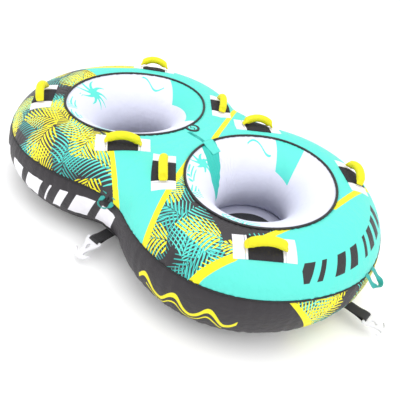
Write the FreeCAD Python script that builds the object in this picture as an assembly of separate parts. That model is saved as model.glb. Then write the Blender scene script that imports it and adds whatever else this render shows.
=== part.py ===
"""Two-rider towable tube: an inflated figure-eight bladder in a sewn nylon cover.

Millimetres. +X is the front (towing end), +Y is left, +Z is up. The origin is on the floor, midway between
the two seats, in the plane that the flattened underside rests on.
"""
import FreeCAD, Part
import math
import os

from FreeCAD import Placement, Rotation, Vector

# ---- driving dimensions -------------------------------------------------------------------------------
RING_HALF_WIDTH = 335.0      # ring centreline, half size along X
RING_HALF_LENGTH = 390.0     # ring centreline, half size along Y, longer than its half width
RING_END_TIGHTER = 45.0      # the oval's end arcs are this much tighter than its half width
BRIDGE_HALF = 25.0           # from the middle plane to the nearest point of each ring's centreline
WAIST_SETBACK = 118.0        # the bridge's straight part stops this far short of the rings' length
TUBE_RADIUS = 195.0          # outside of the inflated cover
REST_FLAT = 2.0              # how much the underside flattens where it rests

COVER_THICKNESS = 2.0        # nylon cover with its backing
BLADDER_GAP = 0.5            # loose fit between bladder and cover
BLADDER_WALL = 3.0           # drawn thicker than the real film, so that it stays a sound solid
UPPER_SEAM_HEIGHT = 76.0     # side band's upper seam, above mid-height
LOWER_SEAM_DROP = 149.0      # side band's lower seam, below mid-height
SEAM_TAPE_WIDTH = 7.0
SEAM_TAPE_THICKNESS = 2.0

RIM_INSET = 44.0             # well rim, inside the centreline
PIPING_RADIUS = 5.0
FLOOR_THICKNESS = 2.5        # mesh floor of each well
SEWN_GAP = 0.3               # between pieces that are sewn edge to edge

HANDLE_PLACES = {"end": (46.0, 49.0), "waist": (137.0, 35.0)}   # heading round the ring, and how far outside
                                                                # the centreline each handle's middle is
PAD_LENGTH = 116.0           # knuckle guard between the two patches
PAD_THICKNESS = 4.0
HANDLE_WIDTH = 92.0
PATCH_LENGTH = 50.0
PATCH_THICKNESS = 2.0
GRIP_RADIUS = 16.0
GRIP_SPAN = 122.0            # between the centres of the grip's round ends
GRIP_RISE = 24.0             # middle of the grip above its ends
GRIP_GAP = 0.5               # between a grip's round end and its patch
WEBBING_WIDTH = 25.0
WEBBING_THICKNESS = 2.0
WEBBING_GAP = 0.2            # between webbing and what it runs through

TOW_DROP_ANGLE = 37.0        # where the tow straps leave the side band, below the tube's mid-height
TOW_PATCH_WIDTH = 66.0
TOW_PATCH_LENGTH = 84.0
TOW_PATCH_THICKNESS = 3.0
TOW_STRAP_WIDTH = 50.0
TOW_STRAP_LENGTH = 96.0      # hinge line to the connector's bar
TOW_PLY = 2.0                # one layer of tow webbing
TOW_LOOP_LENGTH = 34.0       # length over which the two layers part around the bar
TOW_ROOT_GAP = 1.0           # strap's end to its patch

BAR_RADIUS = 5.0
BAR_GAP = 0.4                # bar inside the strap's loop
CONNECTOR_THICKNESS = 9.0
CONNECTOR_ARM = 10.0         # width of each arm beside the strap
CONNECTOR_ARM_GAP = 2.0      # arm to strap edge
CONNECTOR_LENGTH = 92.0      # bar to the crescent's tip
CRESCENT_RADIUS = 40.0       # outer edge of the crescent
CRESCENT_DEPTH = 17.0
NECK_WIDTH = 22.0
EYE_LENGTH = 24.0            # oval hole in the connector's body
EYE_WIDTH = 14.0
FRONT_DROOP = 8.0            # how far each connector hangs at rest, degrees
SIDE_DROOP = 24.0

CARRY_SPAN = 72.0            # across a carry loop, outside
CARRY_REACH = 54.0           # hinge line to the far side of the loop
CARRY_BELOW_SEAM = 12.0
CARRY_WIDTH = 20.0
CARRY_THICKNESS = 2.5
CARRY_DROOP_ANGLE = 40.0     # below horizontal
CARRY_GAP = 0.5

ZIP_LENGTH = 88.0
ZIP_WIDTH = 22.0
ZIP_CENTRE = (12.0, -12.0)
ZIP_EDGE_GAP = 0.3
SLIDER_LENGTH = 14.0
SLIDER_WIDTH = 9.0
SLIDER_HEIGHT = 5.0
PULL_LENGTH = 24.0
PULL_WIDTH = 7.0

VALVE_SPOT = (18.0, 60.0)
VALVE_FLANGE_RADIUS = 32.0
VALVE_NECK_RADIUS = 22.0
VALVE_BORE_RADIUS = 16.0
VALVE_DEPTH = 26.0
VALVE_FLANGE_THICKNESS = 2.5
VALVE_FLANGE_DROP = 4.5      # flange below the curved wall that it is welded to
VALVE_FLOOR = 3.0
PLUG_GAP = 0.4
PLUG_HEIGHT = 14.0
PLUG_WALL = 3.5

FLAP_WIDTH = 66.0
FLAP_LEAD = 7.0              # the flap starts this far behind the front rim
FLAP_DROP = 60.0             # end of the flap below mid-height, inside the front well
FLAP_THICKNESS = 1.5

EMBLEM_SPOT = (-50.0, 28.0)
EMBLEM_RADIUS = 30.0
EMBLEM_THICKNESS = 1.5

# ---- values worked out from them ----------------------------------------------------------------------
MID = TUBE_RADIUS - REST_FLAT                 # tube mid-height above the floor
RING_OFFSET = RING_HALF_WIDTH + BRIDGE_HALF   # each seat ring's centre, forward or back of the origin
RING_END_RADIUS = RING_HALF_WIDTH - RING_END_TIGHTER
WAIST_REACH = RING_HALF_LENGTH - WAIST_SETBACK
RING_SIDE_RADIUS = ((RING_HALF_LENGTH - RING_END_RADIUS) ** 2 + RING_HALF_WIDTH ** 2
                    - RING_END_RADIUS ** 2) / (2 * (RING_HALF_WIDTH - RING_END_RADIUS))
BIG = 4 * (RING_OFFSET + RING_HALF_LENGTH + TUBE_RADIUS)
X, Y, Z = Vector(1, 0, 0), Vector(0, 1, 0), Vector(0, 0, 1)
RINGS = {"front": 1, "rear": -1}
SIDES = {"left": 1, "right": -1}


def save(name, shape):
    """Write one sub-part."""
    shape.exportStep("parts/" + name + ".step")


def tidy(shape):
    """One clean solid, or a compound where the piece is several solids."""
    solids = shape.Solids
    if len(solids) == 1:
        return solids[0]
    return Part.makeCompound(solids)


def box(low, high):
    return Part.makeBox(high[0] - low[0], high[1] - low[1], high[2] - low[2], Vector(*low))


def slab(z_low, z_high):
    """Everything between two heights."""
    return box((-BIG, -BIG, z_low), (BIG, BIG, z_high))


# ---- the oval that each ring follows ------------------------------------------------------------------
def oval_arcs():
    """The centreline oval about (0, 0): arc centre, radius, start and end angle in degrees, in order."""
    end_y = RING_HALF_LENGTH - RING_END_RADIUS
    side_x = RING_SIDE_RADIUS - RING_HALF_WIDTH
    turn = math.degrees(math.atan2(end_y, side_x))
    return [(Vector(-side_x, 0, 0), RING_SIDE_RADIUS, -turn, turn),
            (Vector(0, end_y, 0), RING_END_RADIUS, turn, 180 - turn),
            (Vector(side_x, 0, 0), RING_SIDE_RADIUS, 180 - turn, 180 + turn),
            (Vector(0, -end_y, 0), RING_END_RADIUS, 180 + turn, 360 - turn)]


def oval_prism(ring, grow, z_low, z_high):
    """Upright prism on a ring's oval, grown by so much all round."""
    edges = []
    for centre, radius, start, end in oval_arcs():
        circle = Part.Circle(centre + Vector(ring * RING_OFFSET, 0, z_low), Z, radius + grow)
        edges.append(Part.Arc(circle, math.radians(start), math.radians(end)).toShape())
    return Part.Face(Part.Wire(edges)).extrude(Vector(0, 0, z_high - z_low))


def oval_tube(ring, grow, height, radius):
    """Round tube that follows a ring's oval."""
    pieces = []
    for centre, arc_radius, start, end in oval_arcs():
        middle = centre + Vector(ring * RING_OFFSET, 0, height)
        heading = Vector(math.cos(math.radians(start)), math.sin(math.radians(start)), 0)
        across = Vector(-heading.y, heading.x, 0)
        circle = Part.Circle(middle + heading * (arc_radius + grow), across, radius)
        disc = Part.Face(Part.Wire([circle.toShape()]))
        pieces.append(disc.revolve(middle, Z, end - start))
    return pieces[0].fuse(pieces[1:]).removeSplitter()


def oval_at(ring, side, heading):
    """Centreline point whose outward direction has this heading, 0 being away from the other ring."""
    for centre, radius, start, end in oval_arcs():
        if start <= heading <= end:
            angle = math.radians(heading)
            outward = Vector(ring * math.cos(angle), side * math.sin(angle), 0)
            middle = Vector(ring * (RING_OFFSET + centre.x), side * centre.y, MID)
            return middle + outward * radius, outward
    raise ValueError("the heading is outside the oval's arcs")


# ---- the inflated body and its layers -----------------------------------------------------------------
bodies = {}


def inflated(radius):
    """The whole figure-eight body at a tube radius: two rings and the bridge that joins them."""
    if radius not in bodies:
        bridge = Part.makeCylinder(radius, 2 * WAIST_REACH, Vector(0, -WAIST_REACH, MID), Y)
        ends = [Part.makeSphere(radius, Vector(0, side * WAIST_REACH, MID)) for side in (1, -1)]
        rings = [oval_tube(ring, 0, MID, radius) for ring in (1, -1)]
        whole = rings[0].fuse([rings[1], bridge] + ends)
        bodies[radius] = whole.common(slab(MID - radius + REST_FLAT, 2 * BIG)).removeSplitter()
    return bodies[radius]


def layer(inner, outer):
    """The skin between two tube radii."""
    return inflated(outer).cut(inflated(inner))


def ring_cores(grow):
    """Both rings' oval prisms, through the full height."""
    return [oval_prism(ring, grow, -BIG, BIG) for ring in (1, -1)]


def bladder():
    outer = TUBE_RADIUS - COVER_THICKNESS - BLADDER_GAP
    shell = layer(outer - BLADDER_WALL, outer)
    return shell.cut(Part.makeCylinder(VALVE_NECK_RADIUS, BIG, Vector(VALVE_SPOT[0], VALVE_SPOT[1], MID), Z))


def cover_layer():
    return layer(TUBE_RADIUS - COVER_THICKNESS, TUBE_RADIUS)


def top_cover(skin):
    """Panel above the upper seam, open at both wells and at the zip."""
    panel = skin.common(slab(MID + UPPER_SEAM_HEIGHT, BIG)).cut(ring_cores(-RIM_INSET))
    return panel.cut(zip_window(0))


def side_band(skin):
    panel = skin.common(slab(MID - LOWER_SEAM_DROP, MID + UPPER_SEAM_HEIGHT))
    return panel.cut(ring_cores(0))


def bottom_cover(skin):
    return skin.common(slab(-BIG, MID - LOWER_SEAM_DROP))


def well_liner(skin, ring):
    """Lining of one well, from the rim down round the inside of the tube to the lower seam."""
    inside = oval_prism(ring, -RIM_INSET, MID - LOWER_SEAM_DROP, BIG)
    return skin.common(inside)


def well_floor(ring):
    height = MID - LOWER_SEAM_DROP
    drop = LOWER_SEAM_DROP - FLOOR_THICKNESS
    inset = math.sqrt(TUBE_RADIUS ** 2 - drop ** 2) + SEWN_GAP
    return oval_prism(ring, -inset, height, height + FLOOR_THICKNESS)


def seam_tape(height):
    """Binding along a seam, all round the outside at one height."""
    tape = layer(TUBE_RADIUS, TUBE_RADIUS + SEAM_TAPE_THICKNESS)
    tape = tape.common(slab(height - SEAM_TAPE_WIDTH / 2, height + SEAM_TAPE_WIDTH / 2))
    return tape.cut(ring_cores(0))


def flap_box():
    start = BRIDGE_HALF + RIM_INSET - FLAP_LEAD
    return box((start, -FLAP_WIDTH / 2, MID - FLAP_DROP), (RING_OFFSET, FLAP_WIDTH / 2, BIG))


def rim_piping(ring):
    """Bead round a well's rim. The front one stops where the flap crosses it."""
    rise = math.sqrt(TUBE_RADIUS ** 2 - RIM_INSET ** 2)
    piping = oval_tube(ring, -RIM_INSET, MID + rise, PIPING_RADIUS).cut(inflated(TUBE_RADIUS))
    half_gap = FLAP_WIDTH / 2 + SEWN_GAP
    return piping.cut(box((0, -half_gap, 0), (RING_OFFSET, half_gap, BIG)))


def closure_flap():
    return layer(TUBE_RADIUS, TUBE_RADIUS + FLAP_THICKNESS).common(flap_box())


def emblem_badge():
    disc = Part.makeCylinder(EMBLEM_RADIUS, BIG, Vector(EMBLEM_SPOT[0], EMBLEM_SPOT[1], MID), Z)
    rise = math.sqrt(TUBE_RADIUS ** 2 - RIM_INSET ** 2)
    bead = oval_tube(RINGS["rear"], -RIM_INSET, MID + rise, PIPING_RADIUS + SEWN_GAP)
    badge = layer(TUBE_RADIUS, TUBE_RADIUS + EMBLEM_THICKNESS).common(disc).cut(bead)
    # the edge cut off beyond the rim's cord would hang over the well, so it is trimmed away
    return max(badge.Solids, key=lambda piece: piece.Volume)


# ---- zip and valve ------------------------------------------------------------------------------------
def zip_window(grow):
    """Slot in the top cover that the zip closes."""
    half_length, half_width = ZIP_LENGTH / 2 + grow, ZIP_WIDTH / 2 + grow
    return box((ZIP_CENTRE[0] - half_length, ZIP_CENTRE[1] - half_width, MID),
               (ZIP_CENTRE[0] + half_length, ZIP_CENTRE[1] + half_width, BIG))


def zipper_tape(skin):
    return skin.common(zip_window(-ZIP_EDGE_GAP))


def zip_start():
    """Middle of the slider with the zip closed, on top of the tape."""
    return Vector(ZIP_CENTRE[0] - ZIP_LENGTH / 2 + SLIDER_LENGTH, ZIP_CENTRE[1], MID + TUBE_RADIUS + SEWN_GAP)


def zipper_slider():
    """Slider body with its pull tab lying back along the zip."""
    at = zip_start()
    body = box((at.x - SLIDER_LENGTH / 2, at.y - SLIDER_WIDTH / 2, at.z),
               (at.x + SLIDER_LENGTH / 2, at.y + SLIDER_WIDTH / 2, at.z + SLIDER_HEIGHT))
    body = body.makeFillet(SLIDER_HEIGHT / 4, body.Edges)
    pull = box((at.x, at.y - PULL_WIDTH / 2, at.z + SLIDER_HEIGHT / 2),
               (at.x + PULL_LENGTH, at.y + PULL_WIDTH / 2, at.z + SLIDER_HEIGHT / 2 + 1.5))
    return body.fuse(pull).removeSplitter()


def valve_top():
    """Height of the valve's rim, just under the bladder's outer face."""
    radius = TUBE_RADIUS - COVER_THICKNESS - BLADDER_GAP
    return MID + math.sqrt(radius ** 2 - VALVE_SPOT[0] ** 2) - BLADDER_GAP


def valve_base():
    """Welded valve seat: a flange inside the bladder and a neck through its wall."""
    spot = Vector(VALVE_SPOT[0], VALVE_SPOT[1], 0)
    top = valve_top()
    flange_top = top - BLADDER_WALL - VALVE_FLANGE_DROP
    neck = Part.makeCylinder(VALVE_NECK_RADIUS - SEWN_GAP, VALVE_DEPTH, spot + Z * (top - VALVE_DEPTH), Z)
    flange = Part.makeCylinder(VALVE_FLANGE_RADIUS, VALVE_FLANGE_THICKNESS,
                               spot + Z * (flange_top - VALVE_FLANGE_THICKNESS), Z)
    bore = Part.makeCylinder(VALVE_BORE_RADIUS, BIG, spot + Z * (top - VALVE_DEPTH + VALVE_FLOOR), Z)
    air_way = Part.makeCylinder(VALVE_BORE_RADIUS / 2, BIG, spot, Z)
    return neck.fuse(flange).removeSplitter().cut([bore, air_way])


def valve_plug():
    """Screw plug with a finger bar."""
    spot = Vector(VALVE_SPOT[0], VALVE_SPOT[1], valve_top() - PLUG_HEIGHT)
    radius = VALVE_BORE_RADIUS - PLUG_GAP
    plug = Part.makeCylinder(radius, PLUG_HEIGHT, spot, Z)
    recess = Part.makeCylinder(radius - PLUG_WALL, PLUG_HEIGHT, spot + Z * PLUG_WALL, Z)
    bar = box((-radius + PLUG_WALL / 2, -PLUG_WALL / 2, PLUG_WALL / 2),
              (radius - PLUG_WALL / 2, PLUG_WALL / 2, PLUG_HEIGHT - 1))
    bar.translate(spot)
    return plug.cut(recess).fuse(bar).removeSplitter()


# ---- handles ------------------------------------------------------------------------------------------
def handle_frame(ring, side, place):
    """A handle's middle on the cover, with its along, across and up directions."""
    heading, out = HANDLE_PLACES[place]
    foot, outward = oval_at(ring, side, heading)
    up = outward * (out / TUBE_RADIUS) + Z * math.sqrt(1 - (out / TUBE_RADIUS) ** 2)
    along = Z.cross(outward)
    return foot + up * TUBE_RADIUS, along, up.cross(along), up


def in_frame(shape, frame):
    """Put a shape made along X, Y, Z into a frame of along, across and up directions."""
    middle, along, across, up = frame
    shape.Placement = Placement(middle, Rotation(along, across, up, "ZXY"))
    return shape


def handle_block(frame, low, high):
    """A block over the cover, from low to high along the handle and as wide as the handle."""
    block = box((low, -HANDLE_WIDTH / 2, -TUBE_RADIUS / 3), (high, HANDLE_WIDTH / 2, TUBE_RADIUS / 3))
    return in_frame(block, frame)


def grip_end_height():
    """The round ends reach over the guard's edge, so they clear it."""
    return PAD_THICKNESS + GRIP_GAP + GRIP_RADIUS


def grip_arc():
    """Radius of the grip's centreline and half the angle that it turns through."""
    half = GRIP_SPAN / 2
    radius = (half ** 2 + GRIP_RISE ** 2) / (2 * GRIP_RISE)
    return radius, math.degrees(math.asin(half / radius))


def swept(profile, radius, half_angle, height):
    """Turn a face that stands across the top of the arch into the whole arch."""
    centre = Vector(0, 0, height + GRIP_RISE - radius)
    profile.rotate(centre, Y, -half_angle)
    return profile.revolve(centre, Y, 2 * half_angle)


def rectangle_face(middle, width, thickness):
    corners = [middle + Vector(0, sy * width / 2, sz * thickness / 2)
               for sy, sz in ((-1, -1), (1, -1), (1, 1), (-1, 1), (-1, -1))]
    return Part.Face(Part.makePolygon(corners))


def grip_pieces():
    """Foam grip and the webbing inside it, standing over the origin along X."""
    radius, half_angle = grip_arc()
    height = grip_end_height()
    crown = Vector(0, 0, height + GRIP_RISE)
    foam = swept(Part.Face(Part.Wire([Part.Circle(crown, X, GRIP_RADIUS).toShape()])), radius, half_angle, height)
    balls = [Part.makeSphere(GRIP_RADIUS, Vector(end * GRIP_SPAN / 2, 0, height)) for end in (1, -1)]
    core = swept(rectangle_face(crown, WEBBING_WIDTH, WEBBING_THICKNESS), radius, half_angle, height)
    channel = swept(rectangle_face(crown, WEBBING_WIDTH + 2 * WEBBING_GAP, WEBBING_THICKNESS + 2 * WEBBING_GAP),
                    radius, half_angle, height)
    return foam.fuse(balls).removeSplitter().cut(channel), core


def handle(name, frame, pad_layer, patch_layer):
    """Knuckle guard, two sewn patches, foam grip and its webbing."""
    half = PAD_LENGTH / 2
    save(name + "_pad", tidy(pad_layer.common(handle_block(frame, -half, half))))
    patches = [patch_layer.common(handle_block(frame, low, low + PATCH_LENGTH - SEWN_GAP))
               for low in (half + SEWN_GAP, -half - PATCH_LENGTH)]
    save(name + "_patches", Part.makeCompound([tidy(patch) for patch in patches]))
    grip, webbing = grip_pieces()
    save(name + "_grip", tidy(in_frame(grip, frame)))
    save(name + "_webbing", tidy(in_frame(webbing, frame)))


# ---- tow points ---------------------------------------------------------------------------------------
def outward_frame(point, outward, droop=0.0):
    """Frame with X outward (tilted down by the droop), Y to its left and Z up."""
    left = Z.cross(outward)
    tilt = math.radians(droop)
    ahead = outward * math.cos(tilt) - Z * math.sin(tilt)
    return Placement(point, Rotation(ahead, left, ahead.cross(left), "ZXY"))


def core_reach(outward):
    """How far the tube's centreline reaches from the origin towards the front or a side."""
    return RING_OFFSET + RING_HALF_WIDTH if abs(outward.x) > abs(outward.y) else WAIST_REACH


def tow_root(outward):
    """Hinge line of a tow strap: just off the patch, below the tube's mid-height."""
    angle = math.radians(TOW_DROP_ANGLE)
    skin = TUBE_RADIUS + TOW_PATCH_THICKNESS + TOW_ROOT_GAP + TOW_PLY
    return outward * (core_reach(outward) + skin * math.cos(angle)) + Z * (MID - skin * math.sin(angle))


def tow_patch(outward):
    """Reinforcement sewn to the band where the strap starts."""
    centre = outward * core_reach(outward) + Z * MID
    block = box((0, -TOW_PATCH_WIDTH / 2, -TOW_PATCH_LENGTH / 2),
                (2 * TUBE_RADIUS, TOW_PATCH_WIDTH / 2, TOW_PATCH_LENGTH / 2))
    block.Placement = outward_frame(centre, outward, TOW_DROP_ANGLE)
    above_seam = slab(MID - LOWER_SEAM_DROP + SEAM_TAPE_WIDTH / 2 + SEWN_GAP, BIG)
    return layer(TUBE_RADIUS, TUBE_RADIUS + TOW_PATCH_THICKNESS).common(block).common(above_seam)


def teardrop(radius, tail):
    """Outline round the bar at (TOW_STRAP_LENGTH, 0), drawn in to a point on the hinge side, standing on X and Z."""
    bar_x = TOW_STRAP_LENGTH
    point = Vector(bar_x - tail, 0, 0)
    lean = math.acos(radius / tail)
    upper = Vector(bar_x - radius * math.cos(lean), 0, radius * math.sin(lean))
    lower = Vector(upper.x, 0, -upper.z)
    far = Vector(bar_x + radius, 0, 0)
    edges = [Part.LineSegment(point, upper).toShape(), Part.Arc(upper, far, lower).toShape(),
             Part.LineSegment(lower, point).toShape()]
    return Part.Face(Part.Wire(edges))


def tow_strap(root, outward):
    """Webbing folded round the connector's bar and sewn back on itself."""
    inner = BAR_RADIUS + BAR_GAP
    width = Vector(0, TOW_STRAP_WIDTH, 0)
    shift = Vector(0, -TOW_STRAP_WIDTH / 2, 0)
    outside = teardrop(inner + TOW_PLY, TOW_LOOP_LENGTH + 2 * TOW_PLY).extrude(width)
    hole = teardrop(inner, TOW_LOOP_LENGTH).extrude(width)
    band = box((0, 0, -TOW_PLY), (TOW_STRAP_LENGTH - inner - TOW_PLY, TOW_STRAP_WIDTH, TOW_PLY))
    hem = Part.makeCylinder(TOW_PLY, TOW_STRAP_WIDTH, Vector(0, 0, 0), Y)
    strap = outside.fuse([band, hem]).removeSplitter().cut(hole)
    strap.translate(shift)
    strap.Placement = outward_frame(root, outward).multiply(strap.Placement)
    return strap


def tow_connector(root, outward, droop):
    """Moulded quick connector: a bar in the strap's loop, two arms, an eye and a crescent end."""
    half_inside = TOW_STRAP_WIDTH / 2 + CONNECTOR_ARM_GAP
    half_outside = half_inside + CONNECTOR_ARM
    clear = BAR_RADIUS + BAR_GAP + TOW_PLY + 1.0
    body_start, neck_x = clear, CONNECTOR_LENGTH - CRESCENT_DEPTH
    low, high = -CONNECTOR_THICKNESS / 2, CONNECTOR_THICKNESS
    outline = [Vector(-BAR_RADIUS, half_inside, low), Vector(body_start, half_inside, low),
               Vector(body_start, -half_inside, low), Vector(-BAR_RADIUS, -half_inside, low),
               Vector(-BAR_RADIUS, -half_outside, low), Vector(body_start, -half_outside, low),
               Vector(neck_x, -NECK_WIDTH / 2, low), Vector(neck_x, NECK_WIDTH / 2, low),
               Vector(body_start, half_outside, low), Vector(-BAR_RADIUS, half_outside, low),
               Vector(-BAR_RADIUS, half_inside, low)]
    body = Part.Face(Part.makePolygon(outline)).extrude(Vector(0, 0, high))
    bar = Part.makeCylinder(BAR_RADIUS, 2 * half_inside, Vector(0, -half_inside, 0), Y)
    centre = Vector(CONNECTOR_LENGTH - CRESCENT_RADIUS, 0, low)
    moon = Part.makeCylinder(CRESCENT_RADIUS, CONNECTOR_THICKNESS, centre, Z)
    hollow = Part.makeCylinder(CRESCENT_RADIUS * 1.05, CONNECTOR_THICKNESS,
                               centre - X * (CRESCENT_DEPTH + 0.05 * CRESCENT_RADIUS), Z)
    moon = moon.cut(hollow)
    eye_x = body_start + 14 + EYE_LENGTH / 2
    straight = (EYE_LENGTH - EYE_WIDTH) / 2
    eye = box((eye_x - straight, -EYE_WIDTH / 2, -high), (eye_x + straight, EYE_WIDTH / 2, high))
    eye = eye.fuse([Part.makeCylinder(EYE_WIDTH / 2, 2 * high, Vector(eye_x + s * straight, 0, -high), Z)
                    for s in (1, -1)])
    whole = body.fuse([bar, moon]).removeSplitter().cut(eye)
    at = root + outward * TOW_STRAP_LENGTH
    whole.Placement = outward_frame(at, outward, droop)
    return whole


# ---- carry loops --------------------------------------------------------------------------------------
def carry_axis(outward):
    """Hinge line of a carry loop, just off the cover below the upper seam."""
    skin = TUBE_RADIUS + SEAM_TAPE_THICKNESS + CARRY_WIDTH / 2 + CARRY_GAP
    rise = UPPER_SEAM_HEIGHT - CARRY_BELOW_SEAM
    return outward * (core_reach(outward) + math.sqrt(skin ** 2 - rise ** 2)) + Z * (MID + rise)


def u_face(half, reach):
    """Flat U about the X axis: two legs from the hinge line and a half circle."""
    leg = reach - half
    corner = [Vector(0, half, 0), Vector(leg, half, 0), Vector(reach, 0, 0), Vector(leg, -half, 0),
              Vector(0, -half, 0)]
    edges = [Part.LineSegment(corner[0], corner[1]).toShape(), Part.Arc(*corner[1:4]).toShape(),
             Part.LineSegment(corner[3], corner[4]).toShape(), Part.LineSegment(corner[4], corner[0]).toShape()]
    return Part.Face(Part.Wire(edges))


def carry_loop(outward):
    """Webbing loop that hangs out from the seam, with rounded ends on its hinge line."""
    half = CARRY_SPAN / 2
    inside = half - CARRY_THICKNESS
    band = u_face(half, CARRY_REACH).cut(u_face(inside, CARRY_REACH - CARRY_THICKNESS))
    loop = band.extrude(Vector(0, 0, CARRY_WIDTH))
    loop.translate(Vector(0, 0, -CARRY_WIDTH / 2))
    ends = [Part.makeCylinder(CARRY_WIDTH / 2, CARRY_THICKNESS, Vector(0, y, 0), Y) for y in (inside, -half)]
    loop = loop.fuse(ends).removeSplitter()
    loop.Placement = outward_frame(carry_axis(outward), outward, CARRY_DROOP_ANGLE)
    return loop


def carry_tabs(outward):
    """Sewn ends of a carry loop, fixed to the seam beside the loop's own ends."""
    half = CARRY_SPAN / 2 + CARRY_GAP
    tabs = []
    for low in (half, -half - CARRY_THICKNESS):
        tab = Part.makeCylinder(CARRY_WIDTH / 2, CARRY_THICKNESS, Vector(0, low, 0), Y)
        tab = tab.fuse(box((-3 * CARRY_WIDTH, low, -CARRY_WIDTH / 2), (0, low + CARRY_THICKNESS, CARRY_WIDTH / 2)))
        tab = tab.removeSplitter()
        tab.Placement = outward_frame(carry_axis(outward), outward, 0)
        tabs.append(tidy(tab.cut(inflated(TUBE_RADIUS + SEAM_TAPE_THICKNESS))))
    return tabs


# ---- build --------------------------------------------------------------------------------------------
def main():
    os.makedirs("parts", exist_ok=True)
    skin = cover_layer()
    save("bladder", tidy(bladder()))
    save("top_cover", tidy(top_cover(skin)))
    save("side_band", tidy(side_band(skin)))
    save("bottom_cover", tidy(bottom_cover(skin)))
    for name, ring in RINGS.items():
        save("well_liner_" + name, tidy(well_liner(skin, ring)))
        save("well_floor_" + name, tidy(well_floor(ring)))
        save("rim_piping_" + name, tidy(rim_piping(ring)))
    save("upper_seam_binding", tidy(seam_tape(MID + UPPER_SEAM_HEIGHT)))
    save("lower_seam_binding", tidy(seam_tape(MID - LOWER_SEAM_DROP)))
    save("closure_flap", tidy(closure_flap()))
    save("emblem_badge", tidy(emblem_badge()))
    save("zipper_tape", tidy(zipper_tape(skin)))
    save("zipper_slider", tidy(zipper_slider()))
    save("valve_base", tidy(valve_base()))
    save("valve_plug", tidy(valve_plug()))

    pad_layer = layer(TUBE_RADIUS, TUBE_RADIUS + PAD_THICKNESS)
    patch_layer = layer(TUBE_RADIUS, TUBE_RADIUS + PATCH_THICKNESS)
    for ring_name, ring in RINGS.items():
        for side_name, side in SIDES.items():
            for place in ("end", "waist"):
                name = "_".join(("handle", ring_name, side_name, place))
                handle(name, handle_frame(ring, side, place), pad_layer, patch_layer)

    tabs = []
    for name, outward, droop in (("front", X, FRONT_DROOP), ("side", -Y, SIDE_DROOP)):
        root = tow_root(outward)
        save("tow_patch_" + name, tidy(tow_patch(outward)))
        save("tow_strap_" + name, tidy(tow_strap(root, outward)))
        save("tow_connector_" + name, tidy(tow_connector(root, outward, droop)))
        save("carry_loop_" + name, tidy(carry_loop(outward)))
        tabs += carry_tabs(outward)
    save("carry_loop_tabs", Part.makeCompound(tabs))


if __name__ == "__main__":
    main()
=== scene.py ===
"""Two-rider towable tube: sewn cover, seat wells, grab handles, tow points and trim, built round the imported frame."""

import math

import bpy
import bmesh
import numpy as np
from mathutils import Matrix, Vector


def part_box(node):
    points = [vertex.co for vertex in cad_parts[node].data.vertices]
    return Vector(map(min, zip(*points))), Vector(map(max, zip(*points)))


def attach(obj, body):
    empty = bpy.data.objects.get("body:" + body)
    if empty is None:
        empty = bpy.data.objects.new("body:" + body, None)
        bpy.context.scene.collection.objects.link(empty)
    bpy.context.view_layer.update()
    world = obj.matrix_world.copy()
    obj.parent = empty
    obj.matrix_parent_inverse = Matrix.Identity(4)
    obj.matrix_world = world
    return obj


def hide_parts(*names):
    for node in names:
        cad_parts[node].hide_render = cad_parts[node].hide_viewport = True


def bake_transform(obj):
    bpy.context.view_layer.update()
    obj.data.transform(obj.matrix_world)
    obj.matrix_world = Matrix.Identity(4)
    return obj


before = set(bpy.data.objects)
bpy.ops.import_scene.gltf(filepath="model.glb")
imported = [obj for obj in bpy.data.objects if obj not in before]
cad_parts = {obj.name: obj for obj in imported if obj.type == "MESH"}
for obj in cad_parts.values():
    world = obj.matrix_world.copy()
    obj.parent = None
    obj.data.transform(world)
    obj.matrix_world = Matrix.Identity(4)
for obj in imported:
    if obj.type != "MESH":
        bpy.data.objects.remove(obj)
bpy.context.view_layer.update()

bl_info = {
    "name": "Towable Tube",
    "version": (1, 0, 0),
    "blender": (4, 5, 0),
    "location": "3D View > Sidebar > Tube",
    "description": "Builds the cloth, foam, webbing and moulded pieces of a two-rider towable tube",
    "category": "Object",
}

# Sizes of the body, in metres, as in the part's source
MID = 0.193                 # height of the tubes' centreline above the floor
TUBE = 0.195                # radius of the covered tube
RING_OFFSET = 0.360         # ring centres lie this far from the middle, along X
END_RADIUS, END_CENTRE = 0.290, 0.100
SIDE_RADIUS, SIDE_CENTRE = 0.4236, 0.0886
TURN = math.atan2(END_CENTRE, SIDE_CENTRE)
WAIST_REACH = 0.272
SEAM_RISE = 0.076           # upper seam above the centreline
LOWER_DROP = 0.149          # lower seam below the centreline
RIM_ANGLE = math.acos(0.044 / TUBE)
FOOT_ANGLE = -math.asin(LOWER_DROP / TUBE)
HANDLES = {"end": (46.0, 0.049), "waist": (137.0, 0.035)}
FRONT_ROOT, SIDE_ROOT = np.array([0.8555, 0.0, 0.0720]), np.array([0.0, -0.4325, 0.0720])
STRAP_LENGTH = 0.096
GUARD_LONG, GUARD_WIDE = 0.058, 0.046   # half sizes of a handle's guard
UP = np.array([0.0, 0.0, 1.0])
MIRROR_X = np.array([-1.0, 1.0, 1.0])


def linear(code):
    """Linear colour of an sRGB hex value."""
    parts = [int(code[i:i + 2], 16) / 255 for i in (0, 2, 4)]
    return tuple(c / 12.92 if c <= 0.04045 else ((c + 0.055) / 1.055) ** 2.4 for c in parts)


# ---------------------------------------------------------------- the body's surface

def unit(v):
    return v / np.linalg.norm(v, axis=-1, keepdims=True)


def smooth_step(low, high, value):
    t = np.clip((value - low) / (high - low), 0, 1)
    return t * t * (3 - 2 * t)


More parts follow.
